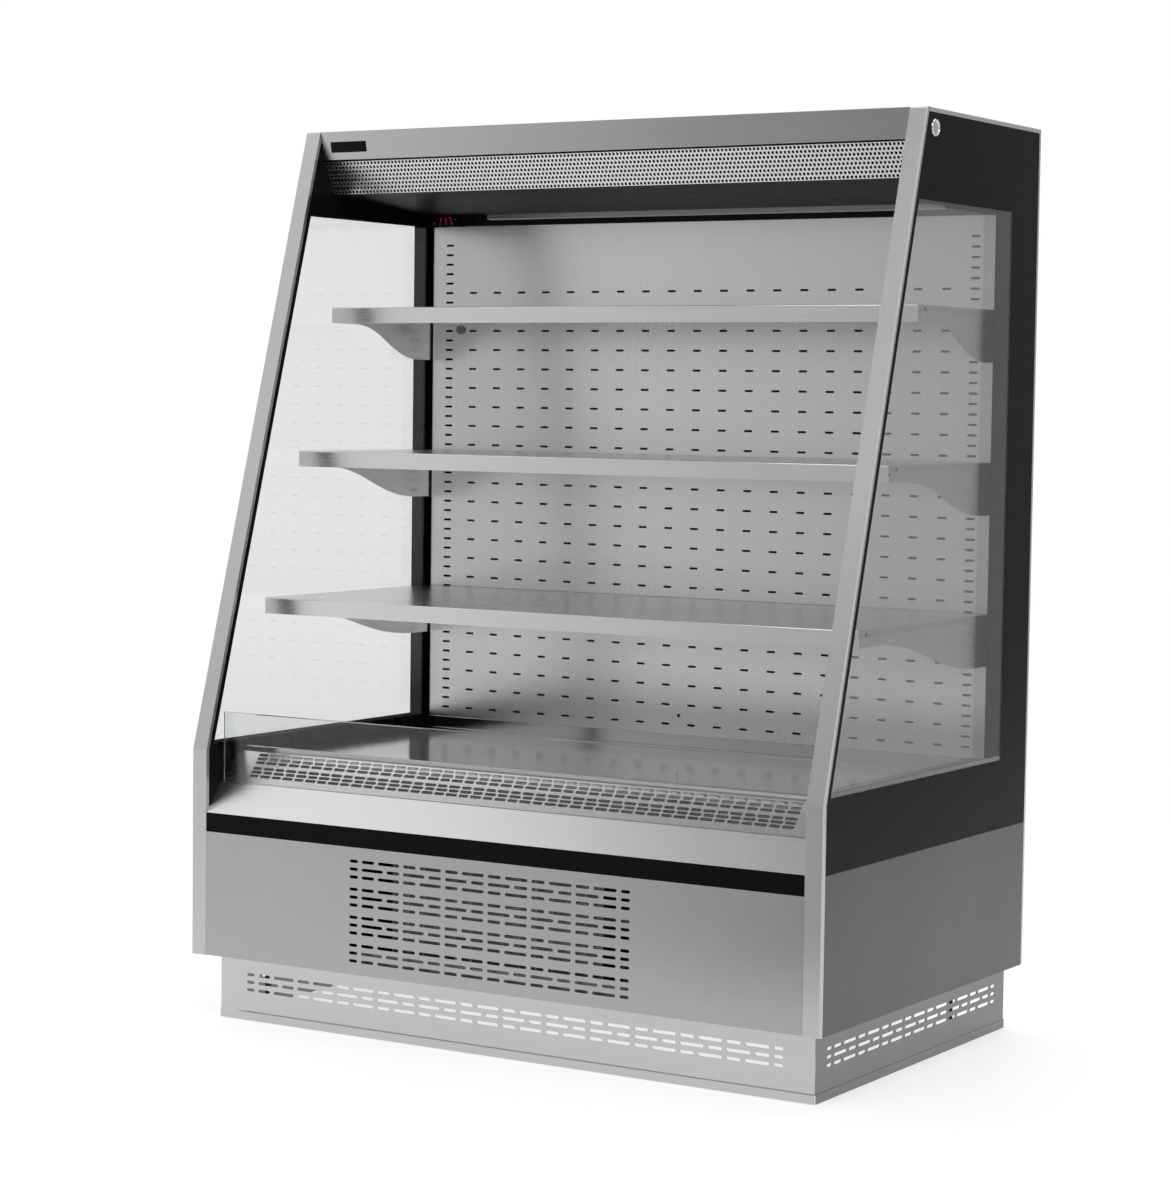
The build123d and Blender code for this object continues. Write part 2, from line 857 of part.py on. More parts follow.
# ---- Canopy ---------------------------------------------------------------------------------------
def fascia():
    """Folded stainless fascia, with a flange over the roof and a lip over the outlet grille."""
    y0 = edge_y(case_height)
    y1 = y0 + fascia_run
    z1 = case_height - fascia_height
    return along_x(folded([
        (y1 + fascia_return, z1),
        (y1, z1),
        (y0, case_height),
        (y0 + fascia_flange, case_height),
    ], sheet), -body_half, body_half)


def air_outlet_grille():
    """Perforated strip that blows the air curtain down, made here with coarser openings."""
    length = math.hypot(outlet_run, outlet_top - outlet_bottom)
    normal = (0, -(outlet_top - outlet_bottom) / length, -outlet_run / length)
    plane = Plane(origin=(0, outlet_front, outlet_top), x_dir=(1, 0, 0), z_dir=normal)
    strip = plane * Pos(0, -length / 2, -sheet / 2) * Box(2 * body_half, length, sheet)
    pitch = 2 * body_half / outlet_slots
    cuts = []
    for row in range(outlet_rows):
        v = -length * (row + 1) / (outlet_rows + 1)
        for u, width in even_row(outlet_slots, pitch - outlet_slot_gap, pitch):
            cuts.append(plane * Pos(u, v, 0) * Box(width, outlet_slot_height, 4 * sheet))
    return strip - cuts


def ceiling_z(y):
    """Underside of the ceiling at y."""
    run = drop_front - ceiling_front
    return outlet_bottom + (ceiling_rear - outlet_bottom) * (y - ceiling_front) / run


def canopy_ceiling():
    """Black ceiling of the canopy, with a strip that drops in front of the back panel."""
    return along_x(folded([
        (drop_front, drop_bottom),
        (drop_front, ceiling_rear),
        (ceiling_front, outlet_bottom),
        (ceiling_front, outlet_bottom + ceiling_upstand),
    ], sheet), -body_half, body_half)


def lamp_length():
    return 2 * body_half - lamp_left - lamp_right


def lamp_place():
    """Middle of the lamp's seat on the ceiling, turned to the ceiling's slope."""
    y = drop_front - 2 * seam - lamp_width / 2
    slope = math.degrees(math.atan2(outlet_bottom - ceiling_rear, drop_front - ceiling_front))
    return Pos((lamp_left - lamp_right) / 2, y, ceiling_z(y)) * Rot(-slope, 0, 0)


def lamp_housing():
    """Channel of the lamp, fixed under the rear of the ceiling."""
    bar = Pos(0, 0, -lamp_height / 2) * Box(lamp_length(), lamp_width, lamp_height)
    groove = Box(lamp_length() - 2 * lamp_wall, lamp_width - 2 * lamp_wall, lamp_height)
    return lamp_place() * (bar - Pos(0, 0, -lamp_height / 2 - lamp_wall) * groove)


def lamp_diffuser():
    """Milky cover set into the lamp's channel."""
    gap = lamp_wall + seam / 3
    height = lamp_height - 2 * lamp_wall
    strip = Box(lamp_length() - 2 * gap, lamp_width - 2 * gap, height)
    return lamp_place() * Pos(0, 0, -lamp_height + height / 2) * strip


def controller_housing():
    """Controller on the drop strip at its left end, with a window and pockets for its keys."""
    x0 = -body_half
    y0 = drop_front - controller_depth
    body = block(
        x0, x0 + controller_width, y0, drop_front, controller_bottom,
        controller_bottom + controller_height,
    )
    body -= block(
        x0 + display_inset, x0 + display_inset + display_width, y0 - over, y0 + display_depth,
        controller_bottom + display_rise, controller_bottom + display_rise + display_height,
    )
    for x in key_places():
        pocket = block(
            x - key_width / 2 - key_gap, x + key_width / 2 + key_gap,
            y0 - over, y0 + key_depth + key_travel,
            controller_bottom + key_rise - key_gap,
            controller_bottom + key_rise + key_height + key_gap,
        )
        body -= pocket
    return body


def controller_display():
    """Dark window over the digits."""
    x0 = -body_half + display_inset + display_gap
    y0 = drop_front - controller_depth
    z0 = controller_bottom + display_rise + display_gap
    return block(
        x0, x0 + display_width - 2 * display_gap, y0, y0 + display_depth,
        z0, z0 + display_height - 2 * display_gap,
    )


def key_places():
    """Centres of the controller's keys along its lower edge."""
    start = -body_half + controller_width / 2 - (key_count - 1) * key_pitch / 2
    return [start + i * key_pitch for i in range(key_count)]


def controller_key(index):
    """One key, which presses into its pocket and springs back."""
    x = key_places()[index]
    y0 = drop_front - controller_depth
    z0 = controller_bottom + key_rise
    return block(
        x - key_width / 2, x + key_width / 2, y0 - key_proud, y0 + key_depth, z0, z0 + key_height
    )


def badge_plate():
    """Blank plate near the left end of the fascia."""
    slope = fascia_run / fascia_height
    y = edge_y(case_height) + badge_drop * slope
    x = badge_inset + badge_length / 2 - inner
    turn = math.degrees(math.atan(slope))
    blank = Pos(0, -badge_thickness / 2, 0) * Box(badge_length, badge_thickness, badge_height)
    return Pos(x, y, case_height - badge_drop) * Rot(turn, 0, 0) * blank


# ---- Refrigeration --------------------------------------------------------------------------------
def fan_axis():
    """Centre of the condenser fan's rotor, behind its opening in the shroud."""
    y = front + coil_setback + coil_depth + plate + fan_gap + fan_depth / 2
    return 0, y, base_height + plate + coil_height / 2


def rotor(radius, hub, chord, depth):
    """Fan rotor about local Z: a hub with pitched blades."""
    body = Cylinder(hub, depth)
    middle = (hub - blade_root + radius) / 2
    vane = Pos(middle, 0, 0) * Rot(fan_pitch, 0, 0) * Box(radius - hub + blade_root, chord, blade)
    for i in range(fan_blades):
        body += Rot(0, 0, i * 360 / fan_blades) * vane
    return body


def condenser_fan():
    """Rotor of the condenser fan, on the motor's shaft."""
    x, y, z = fan_axis()
    blades = rotor(fan_radius - fan_gap, fan_hub, fan_chord, fan_depth)
    blades -= Pos(0, 0, -fan_depth / 4) * Cylinder(shaft_radius + running_gap, fan_depth / 2)
    return Pos(x, y, z) * Rot(90, 0, 0) * blades


def finned_block(width, depth, height, fins):
    """A block of upright fins joined along the middle by a spine, with a plate at each end."""
    pitch = (width - fin) / (fins - 1)
    core = block(-width / 2, width / 2, (depth - fin) / 2, (depth + fin) / 2, 0, height)
    for i in range(fins):
        x = -width / 2 + i * pitch
        core += block(x, x + fin, 0, depth, 0, height)
    return core


def condenser_coil():
    """Finned condenser block."""
    place = Pos(0, front + coil_setback, base_height + plate)
    return place * finned_block(coil_width, coil_depth, coil_height, coil_fins)


def condenser_shroud():
    """Shroud plate behind the coil, with the fan's opening and its motor on two arms."""
    x, y, z = fan_axis()
    y0 = front + coil_setback + coil_depth
    z0 = base_height + plate
    shroud = block(x - coil_width / 2, x + coil_width / 2, y0, y0 + plate, z0, z0 + coil_height)
    shroud -= Pos(x, y0, z) * Rot(90, 0, 0) * Cylinder(fan_radius, 4 * plate)
    motor_y = y + fan_depth / 2 + fan_gap
    shroud += block(
        x - motor_width / 2, x + motor_width / 2, motor_y, motor_y + motor_length,
        z - motor_width / 2, z + motor_width / 2,
    )
    shaft = motor_y - y - seam
    shroud += Pos(x, motor_y - shaft / 2, z) * Rot(90, 0, 0) * Cylinder(shaft_radius, shaft)
    arm_y = motor_y + motor_length / 2
    reach = fan_radius + 2 * plate
    for side in (-1, 1):
        a, b = sorted((x + side * (motor_width / 2 - plate), x + side * reach))
        shroud += block(a, b, arm_y, arm_y + plate, z - arm_width / 2, z + arm_width / 2)
        a, b = sorted((x + side * (reach - plate), x + side * reach))
        shroud += block(a, b, y0 + plate / 2, arm_y + plate, z - arm_width / 2, z + arm_width / 2)
    return shroud


def compressor():
    """Hermetic compressor shell on its foot plate and rubber mounts."""
    r, h = compressor_radius, compressor_height
    profile = Polyline(
        (0, 0), (r, 0), (r, h * shell_shoulder), (r * shell_crown, h), (0, h), close=True
    )
    base = mount_height + plate
    body = Pos(0, 0, base) * revolve(make_face(Plane.XZ * profile), axis=Axis.Z)
    long, wide = r + foot_overhang, foot_width / 2
    body += block(-long, long, -wide, wide, mount_height, base)
    for x in (-1, 1):
        for y in (-1, 1):
            a, b = sorted((x * long, x * (long - mount_width)))
            c, d = sorted((y * wide, y * (wide - mount_width)))
            body += block(a, b, c, d, 0, mount_height)
    return Pos(compressor_x, compressor_y, base_height + plate) * body


def electrical_box():
    """Box for the starter, relay and terminals, with its lid."""
    x0, x1 = box_x - box_width / 2, box_x + box_width / 2
    y0, y1 = box_y - box_depth / 2, box_y + box_depth / 2
    z0 = base_height + plate
    z1 = z0 + box_height
    body = block(x0, x1, y0, y1, z0, z1)
    return body + block(x0 - lid_rim, x1 + lid_rim, y0 - lid_depth, y0, z0 + lid_rim, z1 + lid_rim)


def drain_tray():
    """Open tray that catches and evaporates the defrost water."""
    x0, x1 = drain_x - drain_width / 2, drain_x + drain_width / 2
    y0, y1 = drain_y - drain_depth / 2, drain_y + drain_depth / 2
    z0 = base_height + plate
    tray = block(x0, x1, y0, y1, z0, z0 + drain_height)
    return tray - block(
        x0 + plate, x1 - plate, y0 + plate, y1 - plate, z0 + plate, z0 + drain_height + over
    )


def tube(points):
    """An eight-sided pipe along straight runs with mitred corners."""
    path = Polyline(*points)
    start = Plane(origin=path.position_at(0), z_dir=path.tangent_at(0))
    section = start * RegularPolygon(pipe_radius, 8)
    return sweep(section, path=path, transition=Transition.RIGHT)


def pipework():
    """Discharge line to the condenser, and suction line from the cold space with its drier."""
    x, y = compressor_x, compressor_y
    coil_x = coil_width / 2 + seam
    coil_y = front + coil_setback + coil_depth / 2
    discharge_z = base_height + plate + discharge_height
    discharge = tube([
        (coil_x, coil_y, discharge_z),
        (x, coil_y, discharge_z),
        (x, y - compressor_radius - seam, discharge_z),
    ])
    suction_z = base_height + plate + suction_height
    suction_y = y + compressor_radius + seam
    suction = tube([
        (x, suction_y, suction_z),
        (x, suction_y + suction_run, suction_z),
        (x, suction_y + suction_run, machine_top - seam),
    ])
    drier = Pos(x, suction_y + suction_run, suction_z + drier_length) * Cylinder(drier_radius, drier_length)
    return Compound(children=[discharge.solid(), (suction + drier).solid()])


def evaporator_coil():
    """Finned cooling coil on the floor of the cold space."""
    y = back_front - evaporator_rear_gap - evaporator_depth
    width = 2 * (body_half - evaporator_side)
    return Pos(0, y, tub_floor) * finned_block(
        width, evaporator_depth, evaporator_height, evaporator_fins
    )


def small_fan_places():
    """Centres of the evaporator fans, in the middle of their plate."""
    y = front + fan_plate_setback + sheet
    z = (tub_floor + deck_height - sheet) / 2
    return [(side * small_fan_spacing / 2, y, z) for side in (-1, 1)]


def evaporator_fan_plate():
    """Plate across the cold space with the two fan openings, and their motors on arms."""
    y0 = front + fan_plate_setback
    x = body_half - plate - seam
    wall = block(-x, x, y0, y0 + sheet, tub_floor, deck_height - sheet - plate - seam)
    motor_y = y0 + sheet + small_fan_depth / 2 + seam
    for x, y, z in small_fan_places():
        wall -= Pos(x, y, z) * Rot(90, 0, 0) * Cylinder(small_fan_radius + small_fan_gap, 6 * sheet)
        wall += block(
            x - small_motor_width / 2, x + small_motor_width / 2, motor_y,
            motor_y + small_motor_length, z - small_motor_width / 2, z + small_motor_width / 2,
        )
        reach = small_fan_radius + small_fan_gap + 2 * sheet
        half_arm = arm_width / 4
        arm_y = motor_y + small_motor_length / 2
        for side in (-1, 1):
            a, b = sorted((x + side * (small_motor_width / 2 - sheet), x + side * reach))
            wall += block(a, b, arm_y, arm_y + sheet, z - half_arm, z + half_arm)
            a, b = sorted((x + side * (reach - sheet), x + side * reach))
            wall += block(a, b, y0, arm_y + sheet, z - half_arm, z + half_arm)
    return wall


def evaporator_fan(index):
    """One small rotor, which turns in its opening just in front of its motor."""
    x, y, z = small_fan_places()[index]
    blades = rotor(small_fan_radius, small_fan_hub, small_fan_chord, small_fan_depth)
    return Pos(x, y, z) * Rot(90, 0, 0) * blades


def pieces():
    """Every node of the case, by name."""
    made = {
        "base_frame": base_frame(),
        "levelling_feet": levelling_feet(),
        "plinth_front": plinth_front(),
        "plinth_right": plinth_side(),
        "plinth_left": mirrored(plinth_side()),
        "insulated_tub": insulated_tub(),
        "rear_wall": rear_wall(),
        "roof_panel": roof_panel(),
        "machine_back": machine_back(),
        "edge_caps": edge_caps(),
        "side_plugs": side_plugs(),
        "louver_panel": louver_panel(),
        "front_band": front_band(),
        "bumper_panel": bumper_panel(),
        "glass_guard": glass_guard(),
        "return_grille": return_grille(),
        "deck_tray": deck_tray(),
        "deck_support": deck_support(),
        "back_panel": back_panel(),
        "uprights": uprights(),
        "probe": probe(),
        "fascia": fascia(),
        "air_outlet_grille": air_outlet_grille(),
        "canopy_ceiling": canopy_ceiling(),
        "lamp_housing": lamp_housing(),
        "lamp_diffuser": lamp_diffuser(),
        "badge_plate": badge_plate(),
        "controller_housing": controller_housing(),
        "controller_display": controller_display(),
        "condenser_coil": condenser_coil(),
        "condenser_shroud": condenser_shroud(),
        "condenser_fan": condenser_fan(),
        "compressor": compressor(),
        "electrical_box": electrical_box(),
        "drain_tray": drain_tray(),
        "pipework": pipework(),
        "evaporator_coil": evaporator_coil(),
        "evaporator_fan_plate": evaporator_fan_plate(),
        "evaporator_fan_left": evaporator_fan(0),
        "evaporator_fan_right": evaporator_fan(1),
    }
    for name, make in (
        ("front_trim", front_trim),
        ("side_panel", side_panel),
        ("side_frame", side_frame),
        ("side_glass", side_glass),
    ):
        made[name + "_right"] = make()
        made[name + "_left"] = mirrored(make())
    for index, name in enumerate(("set", "up", "down", "light")):
        made["key_" + name] = controller_key(index)
    for index, name in enumerate(shelf_names):
        made["shelf_tray_" + name] = shelf_tray(index)
        made["shelf_brackets_" + name] = shelf_brackets(index)
    return made


os.makedirs("parts", exist_ok=True)
for node, shape in pieces().items():
    export_step(shape, "parts/" + node + ".step")
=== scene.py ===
import math

import bmesh
import bpy
from mathutils import Matrix, Vector


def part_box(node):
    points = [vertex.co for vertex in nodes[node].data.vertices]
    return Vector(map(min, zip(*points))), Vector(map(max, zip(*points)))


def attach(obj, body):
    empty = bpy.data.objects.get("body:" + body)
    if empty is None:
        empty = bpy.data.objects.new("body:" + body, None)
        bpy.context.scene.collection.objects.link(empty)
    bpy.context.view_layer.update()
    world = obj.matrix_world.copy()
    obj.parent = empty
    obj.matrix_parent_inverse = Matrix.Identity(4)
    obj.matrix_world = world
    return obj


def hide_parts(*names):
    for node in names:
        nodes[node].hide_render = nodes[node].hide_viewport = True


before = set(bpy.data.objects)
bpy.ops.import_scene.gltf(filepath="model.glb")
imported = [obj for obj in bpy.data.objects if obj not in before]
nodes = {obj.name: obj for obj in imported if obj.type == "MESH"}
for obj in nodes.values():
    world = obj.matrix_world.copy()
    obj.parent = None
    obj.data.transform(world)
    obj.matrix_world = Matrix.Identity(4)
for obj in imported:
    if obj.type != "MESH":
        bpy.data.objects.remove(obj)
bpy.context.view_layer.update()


# ---- Base and zinc-coated parts -------------------------------------------------------------------
# The base tray is pressed from zinc-coated sheet, with nuts for the four screw feet, whose pads are
# moulded. The deck's rails and the rear cover are the same sheet. The plinth hides the tray.
class Signal:
    """A socket in a node tree; arithmetic on it adds Math nodes."""

    def __init__(self, finish, socket):
        self.finish = finish
        self.socket = socket

    def math(self, operation, *values):
        return self.finish.node("ShaderNodeMath", {"operation": operation}, dict(enumerate(values)))

    def __add__(self, other):
        return self.math("ADD", self, other)

    def __radd__(self, other):
        return self.math("ADD", other, self)

    def __sub__(self, other):
        return self.math("SUBTRACT", self, other)

    def __rsub__(self, other):
        return self.math("SUBTRACT", other, self)

    def __mul__(self, other):
        return self.math("MULTIPLY", self, other)

    def __rmul__(self, other):
        return self.math("MULTIPLY", other, self)

    def __lt__(self, other):
        return self.math("LESS_THAN", self, other)

    def most(self, other):
        return self.math("MAXIMUM", self, other)


class Finish:
    """A procedural material, or the world: its shader, and the nodes that drive it."""

    def __init__(self, name, constants, kind="materials", shader="Principled BSDF"):
        self.data = getattr(bpy.data, kind).new(name)
        self.data.use_nodes = True
        self.tree = self.data.node_tree
        self.shader = self.tree.nodes[shader]
        for socket, value in constants.items():
            self.shader.inputs[socket].default_value = value

    def node(self, kind, settings, inputs, out=0):
        made = self.tree.nodes.new(kind)
        for key, value in settings.items():
            if key == "stops":
                for index, (place, shade) in enumerate(value):
                    if index >= len(made.color_ramp.elements):
                        made.color_ramp.elements.new(place)
                    made.color_ramp.elements[index].position = place
                    made.color_ramp.elements[index].color = (*shade, 1.0)
            else:
                setattr(made, key, value)
        for key, value in inputs.items():
            self.feed(made.inputs[key], value)
        return Signal(self, made.outputs[out])

    def feed(self, socket, value):
        if isinstance(value, Signal):
            self.tree.links.new(value.socket, socket)
        else:
            socket.default_value = value

    def drive(self, socket, value):
        self.feed(self.shader.inputs[socket], value)

    def place(self):
        return self.node("ShaderNodeTexCoord", {}, {}, "Object")

    def noise(self, scale, detail=2.0, roughness=0.5):
        """Noise between 0 and 1 with a size along each axis, in features per metre."""
        spread = self.node("ShaderNodeVectorMath", {"operation": "MULTIPLY"}, {0: self.place(), 1: scale})
        values = {"Vector": spread, "Scale": 1.0, "Detail": detail, "Roughness": roughness}
        return self.node("ShaderNodeTexNoise", {}, values)

    def blend(self, mask, low, high):
        """One colour where the mask is 0, the other where it is 1."""
        return self.node(
            "ShaderNodeMix", {"data_type": "RGBA"}, {0: mask, 6: (*low, 1.0), 7: (*high, 1.0)}, 2
        )

    def bump(self, height, strength, distance):
        return self.node(
            "ShaderNodeBump", {}, {"Height": height, "Strength": strength, "Distance": distance}
        )


def sheet_steel(name, dark, light, roughness, grain, streak=0.05, metallic=1.0):
    """Metal sheet whose grain is drawn out along the axes with the small numbers in grain."""
    finish = Finish(name, {"Metallic": metallic})
    fine = finish.noise(grain, 3.0, 0.6)
    broad = finish.noise((3.1, 3.3, 2.7), 2.0)
    finish.drive("Base Color", finish.blend(broad * 0.75 + fine * 0.25, dark, light))
    finish.drive("Roughness", roughness + (fine - 0.5) * streak + (broad - 0.5) * 0.06)
    finish.drive("Normal", finish.bump(fine, 0.02, 0.0003))
    return finish.data


def dress(material, *names):
    """A CAD node keeps its shape and takes this material."""
    for name in names:
        slots = nodes[name].data.materials
        slots.clear()
        slots.append(material)


def soften(width, *names):
    """Small rounded edges on a CAD node, which catch the light as folded sheet does."""
    for name in names:
        weld = nodes[name].modifiers.new("weld", "WELD")
        weld.merge_threshold = 0.00002
        bevel = nodes[name].modifiers.new("edges", "BEVEL")
        bevel.width = width
        bevel.segments = 2
        bevel.limit_method = "ANGLE"
        bevel.angle_limit = math.radians(40)
        bevel.harden_normals = True


PAD_DARK, PAD_LIGHT = (0.018, 0.018, 0.019), (0.034, 0.034, 0.035)
zinc = sheet_steel("zinc_sheet", (0.40, 0.42, 0.44), (0.56, 0.58, 0.60), 0.42, (160, 160, 160))
moulded = Finish("dark_moulding", {"Roughness": 0.55})
moulded.drive("Base Color", moulded.blend(moulded.noise((60, 60, 60)), PAD_DARK, PAD_LIGHT))
moulded.drive("Normal", moulded.bump(moulded.noise((1500, 1500, 1500)), 0.15, 0.0002))
dress(zinc, "base_frame", "machine_back", "deck_support")
dress(moulded.data, "levelling_feet", "electrical_box", "drain_tray")


# ---- Plinth ---------------------------------------------------------------------------------------
# Three folded stainless panels round the feet. Each is punched with three rows of short and long
# slots in turn, and its foot steps out by a couple of millimetres where it is hemmed.
def stainless(name, grain, tone, roughness=0.26):
    """Sheet steel without colour, as bright as tone."""
    bright = (tone + 0.03, tone + 0.03, tone + 0.025)
    return sheet_steel(name, (tone - 0.03,) * 3, bright, roughness, grain)


def stadium(u, v, length, height, steps=4):
    """Outline of a slot with round ends, centred on (u, v)."""
    radius = height / 2
    points = []
    for side in (1, -1):
        for i in range(steps + 1):
            turn = math.pi * (i / steps - 0.5)
            points.append((
                u + side * (length / 2 - radius + radius * math.cos(turn)),
                v + side * radius * math.sin(turn),
            ))
    return points


def punched(outline, holes, thickness, place):
    """Mesh of a flat sheet with holes, from outlines in (u, v), put in place by a matrix."""
    curve = bpy.data.curves.new("punched", "CURVE")
    curve.dimensions = "2D"
    curve.fill_mode = "BOTH"
    curve.extrude = thickness / 2
    for loop in [outline] + holes:
        spline = curve.splines.new("POLY")
        spline.points.add(len(loop) - 1)
        for point, (u, v) in zip(spline.points, loop):
            point.co = (u, v, 0, 1)
        spline.use_cyclic_u = True
    holder = bpy.data.objects.new("punched", curve)
    bpy.context.collection.objects.link(holder)
    graph = bpy.context.evaluated_depsgraph_get()
    mesh = bpy.data.meshes.new_from_object(holder.evaluated_get(graph))
    bpy.data.objects.remove(holder)
    mesh.transform(place)
    return mesh


def basis(origin, across, up):
    """Matrix that takes (u, v, w) to a plane with these directions through origin."""
    across, up = Vector(across).normalized(), Vector(up).normalized()
    out = across.cross(up)
    return Matrix.Translation(origin) @ Matrix((across, up, out)).transposed().to_4x4()


def bent(line, thickness, span, axis):
    """Mesh of a folded sheet: a line of points in the cross-section, carried from span[0] to
    span[1] along the axis; the thickness lies to the right of the line."""
    offset = []
    for i, point in enumerate(line):
        here = Vector(point)
        normals = []
        for a, b in ((line[max(i - 1, 0)], point), (point, line[min(i + 1, len(line) - 1)])):
            run = Vector(b) - Vector(a)
            if run.length > 0:
                normals.append(Vector((run.y, -run.x)).normalized())
        middle = sum(normals, Vector((0, 0)))
        offset.append(here + middle * (thickness * len(normals) / middle.length_squared))
    section = [Vector(p) for p in line] + offset[::-1]
    mesh = bmesh.new()
    rings = []
    for x in span:
        if axis == "X":
            rings.append([mesh.verts.new((x, p.x, p.y)) for p in section])
        else:
            rings.append([mesh.verts.new((p.x, x, p.y)) for p in section])
    count, turns = len(section), len(line)
    for i in range(count):
        j = (i + 1) % count
        mesh.faces.new((rings[0][i], rings[0][j], rings[1][j], rings[1][i]))
    for ring in rings:
        for i in range(turns - 1):
            mesh.faces.new((ring[i], ring[i + 1], ring[count - 2 - i], ring[count - 1 - i]))
    bmesh.ops.recalc_face_normals(mesh, faces=mesh.faces[:])
    made = bpy.data.meshes.new("bent")
    mesh.to_mesh(made)
    mesh.free()
    return made


def tinted(mesh, index):
    """The same mesh, with all its faces in one material slot."""
    mesh.polygons.foreach_set("material_index", [index] * len(mesh.polygons))
    return mesh


def joined(name, meshes, *materials):
    """One object from several meshes that belong to one real piece."""
    whole = bmesh.new()
    for mesh in meshes:
        whole.from_mesh(mesh)
        bpy.data.meshes.remove(mesh)
    made = bpy.data.meshes.new(name)
    whole.to_mesh(made)
    whole.free()
    made.materials.clear()
    for material in materials:
        made.materials.append(material)
    thing = bpy.data.objects.new(name, made)
    bpy.context.collection.objects.link(thing)
    return thing


def slot_row(modules, pattern, gap, ends):
    """(centre, length) of a row of slots: an end slot, the pattern over and over, an end slot."""
    lengths = ends + pattern * modules + ends
    total = sum(lengths) + gap * (len(lengths) - 1)
    at = -total / 2
    row = []
    for length in lengths:
        row.append((at + length / 2, length))
        at += length + gap
    return row


SHEET = 0.0012
SLOT_HEIGHT, ROW_PITCH = 0.0056, 0.0142
SHORT, LONG, GAP, END = 0.027, 0.046, 0.0085, 0.018
FIRST_PLINTH_ROW = 0.058
TOE, TOE_STEP, FLOOR_GAP, HEAD_FLANGE = 0.018, 0.002, 0.001, 0.02
plinth_steel = stainless("plinth_steel", (4, 4, 700), 0.52)
# The plinth's sides take the same steel made far darker: painted shade, not a different metal.
painted_shade_steel = stainless("plinth_side_painted_shade", (4, 4, 700), 0.20)
for name, modules in (("plinth_front", 12), ("plinth_left", 7), ("plinth_right", 7)):
    low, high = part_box(name)
    top = high[2]
    holes = []
    for row in range(3):
        pattern = [LONG, SHORT] if row == 1 else [SHORT, LONG]
        for u, length in slot_row(modules, pattern, GAP, [END]):
            holes.append((u, FIRST_PLINTH_ROW + row * ROW_PITCH, length))
    if name == "plinth_front":
        face = low[1] + TOE_STEP
        field = basis((0, face + SHEET / 2, 0), (1, 0, 0), (0, 0, 1))
        x0, x1 = low[0], high[0]
        middle = (x0 + x1) / 2
        foot = [(face - TOE_STEP, FLOOR_GAP), (face - TOE_STEP, TOE - TOE_STEP), (face, TOE)]
        head = [(face, top - SHEET), (face, top), (face + HEAD_FLANGE, top)]
        flaps = [bent(foot, SHEET, (x0, x1), "X"), bent(head, SHEET, (x0, x1), "X")]
    else:
        side = 1 if name == "plinth_right" else -1
        face = (high[0] if side > 0 else low[0]) - side * TOE_STEP
        field = basis((face - side * SHEET / 2, 0, 0), (0, side, 0), (0, 0, 1))
        x0, x1 = sorted((side * low[1], side * high[1]))
        middle = side * (low[1] + high[1]) / 2
        toe = face + side * TOE_STEP
        foot = [(toe, FLOOR_GAP), (toe, TOE - TOE_STEP), (face, TOE)]
        head = [(face, top - SHEET), (face, top), (face - side * HEAD_FLANGE, top)]
        flaps = [bent(line, -SHEET * side, (low[1], high[1]), "Y") for line in (foot, head)]
    outline = [(x0, TOE), (x1, TOE), (x1, top - SHEET), (x0, top - SHEET)]
    cuts = [stadium(middle + u, v, length, SLOT_HEIGHT) for u, v, length in holes]
    # The sides get the darker copy of the steel, which is painted shade.
    steel = plinth_steel if name == "plinth_front" else painted_shade_steel
    panel = joined(name + "_sheet", [punched(outline, cuts, SHEET, field)] + flaps, steel)
    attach(panel, "cabinet")
    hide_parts(name)


# ---- Foamed body ----------------------------------------------------------------------------------
# The tub, the rear wall and the roof are foam between painted sheet skins. The shopper sees only
# the inside of the tub, and the roof and the rear from above and behind. The tub's dark grey is a
# guessed paint colour that is also painted shade for what shows through the return's slots.
PAINT = {"grain": (30, 30, 30), "metallic": 0.0}
shell_paint = sheet_steel("painted_sheet", (0.52, 0.53, 0.53), (0.60, 0.61, 0.61), 0.45, **PAINT)
dress(shell_paint, "rear_wall", "roof_panel")
# Dark grey inside the tub: a guessed paint, darkened as painted shade for the return's slots.
tub_paint_and_shade = sheet_steel("tub_sheet", (0.13, 0.13, 0.135), (0.17, 0.17, 0.175), 0.5, **PAINT)
dress(tub_paint_and_shade, "insulated_tub")
soften(0.0008, "rear_wall", "roof_panel", "machine_back")


# ---- Condensing unit ------------------------------------------------------------------------------
# A black enamelled compressor, an aluminium finned coil with a fan in a zinc-coated shroud, copper
# lines and a control box, all on the base tray. The evaporator and its fans under the deck are
# made in the same way.
enamel = Finish("black_enamel", {"Coat Weight": 0.4, "Coat Roughness": 0.15})
enamel.drive("Base Color", enamel.blend(enamel.noise((40, 40, 40)), (0.006,) * 3, (0.014,) * 3))
enamel.drive("Roughness", 0.28 + enamel.noise((90, 90, 90)) * 0.12)
enamel.drive("Normal", enamel.bump(enamel.noise((300, 300, 300)), 0.12, 0.0003))
fin_metal = sheet_steel("bare_fins", (0.52, 0.53, 0.55), (0.68, 0.69, 0.70), 0.38, (40, 40, 900))
copper = sheet_steel("copper_tube", (0.44, 0.19, 0.10), (0.60, 0.29, 0.17), 0.32, (120, 120, 120))
dress(enamel.data, "compressor")
dress(fin_metal, "condenser_coil", "evaporator_coil")
dress(zinc, "condenser_shroud", "evaporator_fan_plate")
dress(moulded.data, "condenser_fan", "evaporator_fan_left", "evaporator_fan_right")
dress(copper, "pipework")


